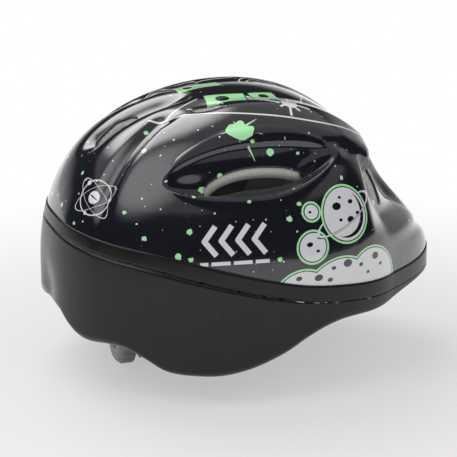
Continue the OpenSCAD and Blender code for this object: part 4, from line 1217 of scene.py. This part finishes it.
def arrows(tree, place):
    """Four chevrons over a dashed line, on the flat of each side."""
    panel = Panel(tree, place, 252, 88, 30)
    shapes = []
    for k in range(4):
        x = -15 + 10.5 * k
        shapes += [panel.bar(x, 6.6, 12.5, 3.4, -52), panel.bar(x, -2, 12.5, 3.4, 52)]
    for x, length in ((-16.5, 9), (-4, 12), (10, 12), (20.5, 5)):
        shapes.append(panel.bar(x, -12, length, 2.3))
    return panel.only_here(union(tree, shapes))


def orbits(tree, place):
    """A small star with two orbits, at the rear of each side."""
    panel = Panel(tree, place, 201, 110, 24)
    shapes = [outline(tree, panel.disc(0, 0, 16.5, 2.6, turn), 0.7) for turn in (35, -35)]
    shapes += [outline(tree, panel.disc(0, 0, 11.5), 0.8), panel.disc(0, 0, 4.2), panel.disc(8.2, 8.2, 1.7),
               panel.disc(-11.4, 1.6, 1.4), panel.disc(3.2, -11, 1.2)]
    hole = panel.bar(0, 0, 6.4, 0.9, 20)
    return panel.only_here(without(tree, union(tree, shapes), hole))


# %% Ink splashes: (angle, height, radius) of each, on the shell
SPLASHES = [(261, 143.5, 1.3), (211, 139, 1.8), (203, 148, 1.5), (245, 130, 1.9), (249, 130, 1.6),
            (238, 123, 2.1), (233, 118, 1.7), (236, 116.5, 1.2), (236, 96, 1.8), (222, 91, 1.6),
            (214, 105, 1.3), (233, 81, 2.0), (237, 79, 1.6), (268, 76, 1.5), (273, 100, 1.9),
            (278, 108, 1.4), (271, 139, 2.5), (287, 137, 1.2), (302, 118, 1.4), (322, 97, 1.6),
            (190, 120, 1.3), (186, 98, 1.6), (196, 92, 1.1), (244, 70, 1.2), (257, 112, 1.1)]
BIG_SPLASH = ((254, 148.5), 7.2)
DRIPS = [((250, 152), 0.7, 0.2), ((243, 147), 0.5, 0.15), ((267, 145.5), 0.7, 0.2), ((262, 136), 0.9, 0.2),
         ((246, 141), 0.6, 0.15), ((266, 152), 0.6, 0.15)]


def spot(angle, z):
    """A point on the shell, turned to the side that the folded coordinates keep."""
    x, y, height = skin([angle], [z])[0]
    return -abs(float(x)), float(y), float(height)


def splashes(tree, place):
    centre = spot(*BIG_SPLASH[0])
    rough = math_node(tree, "MULTIPLY", math_node(tree, "SUBTRACT", noise(tree, place, 0.17, 0), 0.5), 8.5)
    gap = vector_math(tree, "DISTANCE", place, centre, output="Value")
    blot = math_node(tree, "ADD", math_node(tree, "SUBTRACT", gap, BIG_SPLASH[1]), rough)
    shapes = [blot]
    for end, thick, thin in DRIPS:
        shapes.append(use(tree, drip, {"Place": place, "Start": centre, "End": spot(*end),
                                       "Thick": thick + 0.6, "Thin": thin})["Distance"])
    ripple = math_node(tree, "MULTIPLY", math_node(tree, "SUBTRACT", noise(tree, place, 0.7, 0), 0.5), 1.3)
    for angle, z, radius in SPLASHES:
        gap = vector_math(tree, "DISTANCE", place, spot(angle, z), output="Value")
        shapes.append(math_node(tree, "ADD", math_node(tree, "SUBTRACT", gap, radius), ripple))
    return union(tree, shapes)


print(len(SPLASHES) + 1, "splashes on each side")


# %% Specks, the white border line and the shapes on the crown
SPECK_CELL, SPECK_R, EMPTY_CELLS = 10, 0.62, 0.35
SHELL_R, SPECKS_TURN, CROWN_FROM, BORDER_FROM = 90, WAIST + 98, WAIST + 88, WAIST + 72


def specks(tree, place):
    """One small speck in some of the cells of a loose grid, laid round the sides and over the crown."""
    x, y, z = parts_of(tree, place)
    round_it = math_node(tree, "MULTIPLY", math_node(tree, "ARCTAN2", x, y), SHELL_R)
    sides = put(tree, "ShaderNodeCombineXYZ", {0: round_it, 1: z, 2: 0.0}).outputs[0]
    crown = put(tree, "ShaderNodeCombineXYZ", {0: x, 1: y, 2: 0.0}).outputs[0]
    high = math_node(tree, "GREATER_THAN", z, SPECKS_TURN)
    over = put(tree, "ShaderNodeMix", {0: high, 4: sides, 5: crown}, data_type="VECTOR").outputs[1]
    grid = put(tree, "ShaderNodeTexVoronoi", {"Vector": over, "Scale": 1 / SPECK_CELL},
               voronoi_dimensions="2D")
    chance = put(tree, "ShaderNodeSeparateColor", {0: grid.outputs["Color"]}).outputs
    size = math_node(tree, "MULTIPLY", math_node(tree, "SUBTRACT", chance[0], EMPTY_CELLS),
                     SPECK_R / (1 - EMPTY_CELLS))
    gap = math_node(tree, "MULTIPLY", grid.outputs["Distance"], SPECK_CELL)
    return math_node(tree, "SUBTRACT", gap, size)


BORDER_WIDE, BORDER_MIDDLE, BORDER_REAR, BORDER_FRONT = 51, -26, 0.0034, 0.0075


def crown_print(tree, place, real_x):
    """A border line on each side and one drawing between them, seen from above: (white ink, mint ink)."""
    x, y, z = parts_of(tree, place)
    back = math_node(tree, "SUBTRACT", y, BORDER_MIDDLE)
    bend = mix_numbers(tree, math_node(tree, "GREATER_THAN", back, 0), BORDER_FRONT, BORDER_REAR)
    inwards = math_node(tree, "MULTIPLY", math_node(tree, "MULTIPLY", back, back), bend)
    border_x = math_node(tree, "SUBTRACT", BORDER_WIDE, inwards)
    off_border = math_node(tree, "ADD", x, border_x)
    border = outline(tree, off_border, 1.3)
    border = math_node(tree, "MAXIMUM", border, math_node(tree, "SUBTRACT", BORDER_FROM, z))
    border = math_node(tree, "MAXIMUM", border, math_node(tree, "SUBTRACT", 22, border_x))
    top = Panel(tree, place, 270, HEIGHT - 4, 62)
    top.u, top.v = math_node(tree, "MULTIPLY", real_x, -1), y
    high = math_node(tree, "SUBTRACT", CROWN_FROM, z)
    mint = union(tree, [top.bar(20, 14, 26, 15, 98), top.bar(20, -12, 17, 13, 84),
                        top.bar(-15, 22, 30, 12, 86)])
    cut = union(tree, [top.disc(20, 16, 4.6), top.disc(20, -12, 3.4), top.disc(-15, 29, 3.2)])
    star = (36, -24)
    rays_out = [top.bar(*star, 27 - 9 * (k % 2), 1.6, 45 * k + 12) for k in range(4)]
    tails = [top.bar(30 - 5 * k, -6 + 3 * k, 26 - 4 * k, 2.4, 118) for k in range(3)]
    lines = [top.bar(22, 46, 34, 1.2, 62), top.bar(31, 30, 26, 1.1, 110), top.bar(14, -40, 38, 1.2, 20),
             top.bar(8, -56, 50, 1.1, -8), top.bar(10, 66, 24, 1.1, 80), top.bar(-30, 12, 40, 1.2, 84),
             top.bar(-22, 50, 32, 1.2, 118), top.bar(-24, -50, 22, 1.1, 60),
             outline(tree, top.disc(-20, -22, 13), 1.2), outline(tree, top.disc(-20, -22, 8), 0.9),
             top.disc(-20, -22, 3.4)]
    inside = math_node(tree, "MULTIPLY", off_border, -1)
    white = union(tree, rays_out + tails + lines + [top.disc(*star, 5.2)])
    white = without(tree, white, math_node(tree, "SUBTRACT", mint, 0.8))
    white = math_node(tree, "MAXIMUM", math_node(tree, "MAXIMUM", white, high), inside)
    mint = math_node(tree, "MAXIMUM", without(tree, mint, cut), high)
    return union(tree, [border, white]), mint


# %% Glossy printed shell
SHELL_INK, SHELL_WORN = (0.0065, 0.007, 0.0115, 1), (0.012, 0.0125, 0.019, 1)
MINT_INK, PALE_INK = (0.44, 0.87, 0.46, 1), (0.76, 0.76, 0.79, 1)
glossy_shell, tree = new_material("glossy_shell")
real_place = in_millimetres(tree)
x, y, z = parts_of(tree, real_place)
folded_x = math_node(tree, "MULTIPLY", math_node(tree, "ABSOLUTE", x), -1)
place = put(tree, "ShaderNodeCombineXYZ", {0: folded_x, 1: y, 2: z}).outputs[0]
moon_pale, moon_mint = moonscape(tree, place)
crown_white, crown_mint = crown_print(tree, place, x)
mint_ink = inked(tree, union(tree, [splashes(tree, place), moon_mint, crown_mint]))
pale_ink = inked(tree, union(tree, [moon_pale, arrows(tree, place), orbits(tree, place), crown_white,
                                    specks(tree, real_place)]))
dark = mix_colours(tree, noise(tree, real_place, 0.03, 3), SHELL_INK, SHELL_WORN)
printed = mix_colours(tree, mint_ink, dark, MINT_INK)
printed = mix_colours(tree, pale_ink, printed, PALE_INK)
marks = use(tree, scuffs, {"Place": real_place, "Amount": 1.0})["Mask"]
rough = math_node(tree, "MULTIPLY_ADD", noise(tree, real_place, 0.06, 2), 0.05, 0.1)
rough = math_node(tree, "MULTIPLY_ADD", marks, 0.12, rough)
drawn_sheet = bump_from(tree, noise(tree, real_place, 0.09, 1), 0.0005, 0.35)
ink_edge = bump_from(tree, math_node(tree, "MAXIMUM", mint_ink, pale_ink), 0.00003, 0.6, drawn_sheet)
surface(tree, {"Base Color": printed, "Roughness": rough, "Normal": ink_edge, "Coat Weight": 1.0,
               "Coat Roughness": 0.04, "Coat IOR": 1.5})
print("printed shell:", len(tree.nodes), "nodes")


# %% Moulded plastics: satin shell, black, smoke and grey nylon
RUBBED = (0.3, 0.3, 0.3, 1)


def plastic(name, colour, roughness, cell, deep, wear, specular=0.5):
    """A moulded finish. The grain's cell and depth are in millimetres, and wear is the share of scuffs."""
    material, tree = new_material(name)
    place = in_millimetres(tree)
    surface_grain = use(tree, grain, {"Place": place, "Cell": cell})
    lighter = tuple(min(1, c * 1.3 + 0.002) for c in colour)
    tone = mix_colours(tree, surface_grain["Tone"], (*colour, 1), (*lighter, 1))
    marks = use(tree, scuffs, {"Place": place, "Amount": wear})["Mask"]
    worn = mix_colours(tree, math_node(tree, "MULTIPLY", marks, 0.25), tone, RUBBED)
    rough = math_node(tree, "MULTIPLY_ADD", marks, 0.15, roughness - 0.06)
    rough = math_node(tree, "MULTIPLY_ADD", surface_grain["Tone"], 0.12, rough)
    surface(tree, {"Base Color": worn, "Roughness": rough, "Specular IOR Level": specular,
                   "Normal": bump_from(tree, surface_grain["Height"], deep * MM)})
    return material


satin_shell = plastic("satin_shell", (0.0075, 0.0075, 0.008), 0.24, 0.9, 0.006, 0.3, 0.35)
black_nylon = plastic("black_nylon", (0.014, 0.014, 0.014), 0.38, 0.5, 0.02, 0.6)
smoke_nylon = plastic("smoke_nylon", (0.055, 0.056, 0.06), 0.36, 0.5, 0.016, 0.5)
grey_nylon = plastic("grey_nylon", (0.25, 0.26, 0.27), 0.4, 0.5, 0.016, 0.7)
print("four moulded plastics")

# %% Tape over the joint, with the faint cross ribs of its backing
TAPE_TONES, TAPE_RIB = ((0.005, 0.005, 0.0055, 1), (0.009, 0.009, 0.0095, 1)), 0.6
tape, tree = new_material("tape")
place = in_millimetres(tree)
backing = use(tree, grain, {"Place": place, "Cell": 0.35})
x, y, z = parts_of(tree, place)
rib_height = ridge(tree, math_node(tree, "DIVIDE", z, TAPE_RIB))
tone = mix_colours(tree, backing["Tone"], *TAPE_TONES)
height = math_node(tree, "MULTIPLY_ADD", rib_height, 0.5, backing["Height"])
surface(tree, {"Base Color": tone, "Roughness": math_node(tree, "MULTIPLY_ADD", backing["Tone"], 0.1, 0.2),
               "Specular IOR Level": 0.35, "Normal": bump_from(tree, height, 0.000012)})

# %% Expanded foam: pressed beads of 3 mm, with dark pin holes between, and painted shade in dark grey on the wall of the head space
BEADS_PER_MM, SEAM_WIDE = 0.38, 0.07
BEAD_TONES, SEAM_TONE = ((0.6, 0.595, 0.565, 1), (0.65, 0.645, 0.615, 1)), (0.5, 0.495, 0.47, 1)
# Painted shade: the foam on the wall of the head space is painted dark grey to stand for the shade inside the
# helmet
PAINTED_SHADE_REACH, PAINTED_SHADE_GREY = 1.02, (0.13, 0.13, 0.132, 1)
foam_finish, tree = new_material("foam")
place = in_millimetres(tree)
from_head = vector_math(tree, "SUBTRACT", vector_math(tree, "MAXIMUM", place, (-999, -999, WAIST)),
                        (0, HEAD_Y, WAIST))
head_share = vector_math(tree, "DIVIDE", from_head, HEAD_HALVES)
in_painted_shade = math_node(tree, "LESS_THAN", vector_math(tree, "LENGTH", head_share, output="Value"), PAINTED_SHADE_REACH)
beads, seams = (put(tree, "ShaderNodeTexVoronoi", {"Vector": place, "Scale": BEADS_PER_MM}, feature=kind)
                for kind in ("F1", "DISTANCE_TO_EDGE"))
shade = put(tree, "ShaderNodeSeparateColor", {0: beads.outputs["Color"]}).outputs[0]
from_seam = {"Value": seams.outputs["Distance"], "From Max": SEAM_WIDE}
gap = put(tree, "ShaderNodeMapRange", from_seam).outputs[0]
pressed = mix_colours(tree, gap, SEAM_TONE, mix_colours(tree, shade, *BEAD_TONES))
toned = mix_colours(tree, in_painted_shade, pressed, PAINTED_SHADE_GREY)
height = math_node(tree, "MULTIPLY", noise(tree, place, 1.6, 2), 0.5)
height = math_node(tree, "MULTIPLY_ADD", gap, 0.6, height)
surface(tree, {"Base Color": toned, "Roughness": math_node(tree, "MULTIPLY_ADD", shade, 0.1, 0.62),
               "Normal": bump_from(tree, height, 0.00012), "Subsurface Weight": 0.08,
               "Subsurface Radius": (0.002, 0.002, 0.0018)})
print("tape and foam")


# %% Cloths: brushed pad cloth and hook tape on the pads, and webbing that follows its own UV map
ROOF_FROM, HEAD_R = WAIST + 72, 84


def knit_coordinates(tree):
    """Two lengths over a surface that faces any way: round the helmet, and up it."""
    x, y, z = parts_of(tree, in_millimetres(tree))
    heading = math_node(tree, "ARCTAN2", x, math_node(tree, "SUBTRACT", y, HEAD_Y))
    away = math_node(tree, "MULTIPLY", heading, HEAD_R)
    flat = math_node(tree, "GREATER_THAN", z, ROOF_FROM)
    return mix_numbers(tree, flat, away, x), mix_numbers(tree, flat, z, y)


def webbing_coordinates(tree):
    return parts_of(tree, put(tree, "ShaderNodeUVMap").outputs[0])[:2]


def cloth(name, coordinates_of, warp, weft, colours, deep, fuzz, roughness, sheen):
    """A woven finish. The threads' pitches, warp and weft, and the depth of the weave are in millimetres."""
    material, tree = new_material(name)
    u, v = coordinates_of(tree)
    threads = use(tree, weave, {"U": u, "V": v, "Warp": warp, "Weft": weft})
    place = in_millimetres(tree)
    fibres = noise(tree, place, 5, 3)
    # Partly painted shade: the colour is darker where the weave lies low between threads and lighter on each
    # thread's crest; the fibre noise adds a real random tone
    shade = math_node(tree, "MULTIPLY", fibres, 0.4)
    shade = math_node(tree, "MULTIPLY_ADD", threads["Height"], 0.6, shade)
    height = math_node(tree, "MULTIPLY_ADD", fibres, fuzz, threads["Height"])
    rough = math_node(tree, "MULTIPLY_ADD", threads["Thread"], 0.08, roughness)
    surface(tree, {"Base Color": mix_colours(tree, shade, *colours), "Roughness": rough,
                   "Normal": bump_from(tree, height, deep * MM), "Sheen Weight": sheen,
                   "Sheen Roughness": 0.5})
    return material


pad_cloth = cloth("pad_cloth", knit_coordinates, 0.9, 0.8,
                  ((0.007, 0.007, 0.008, 1), (0.03, 0.03, 0.033, 1)), 0.14, 1.0, 0.75, 0.25)
hook_cloth = cloth("hook_cloth", knit_coordinates, 1.1, 1.1,
                   ((0.006, 0.006, 0.006, 1), (0.05, 0.05, 0.05, 1)), 0.3, 1.6, 0.7, 0.1)
web_cloth = cloth("webbing", webbing_coordinates, 1.6, 0.9,
                  ((0.006, 0.006, 0.007, 1), (0.032, 0.032, 0.035, 1)), 0.2, 0.5, 0.6, 0.15)

# %% Steel of the screws, turned, with fine rings
steel, tree = new_material("steel")
place = in_millimetres(tree)
marks = use(tree, scuffs, {"Place": place, "Amount": 1.0})["Mask"]
turned_rings = noise(tree, vector_math(tree, "MULTIPLY", place, (6, 0.4, 6)), 1.2, 3)
tone = mix_colours(tree, turned_rings, (0.5, 0.5, 0.51, 1), (0.62, 0.62, 0.63, 1))
rough = math_node(tree, "MULTIPLY_ADD", marks, 0.2, 0.25)
rough = math_node(tree, "MULTIPLY_ADD", turned_rings, 0.15, rough)
surface(tree, {"Base Color": tone, "Metallic": 1.0, "Roughness": rough,
               "Normal": bump_from(tree, turned_rings, 0.00003)})

# %% Give every piece its finish
FINISHES = {"glossy_shell": glossy_shell, "satin_shell": satin_shell, "tape": tape, "foam": foam_finish,
            "pad_cloth": pad_cloth, "hook_cloth": hook_cloth, "webbing": web_cloth,
            "black_nylon": black_nylon, "smoke_nylon": smoke_nylon, "grey_nylon": grey_nylon, "steel": steel}
for finish, pieces in wearing.items():
    for piece in pieces:
        piece.data.materials.clear()
        piece.data.materials.append(FINISHES[finish])
    print(finish, "on", len(pieces), "pieces")
for name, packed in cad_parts.items():
    for k in range(len(packed.material_slots)):
        packed.material_slots[k].material = FINISHES.get(wearing_of.get(name), black_nylon)
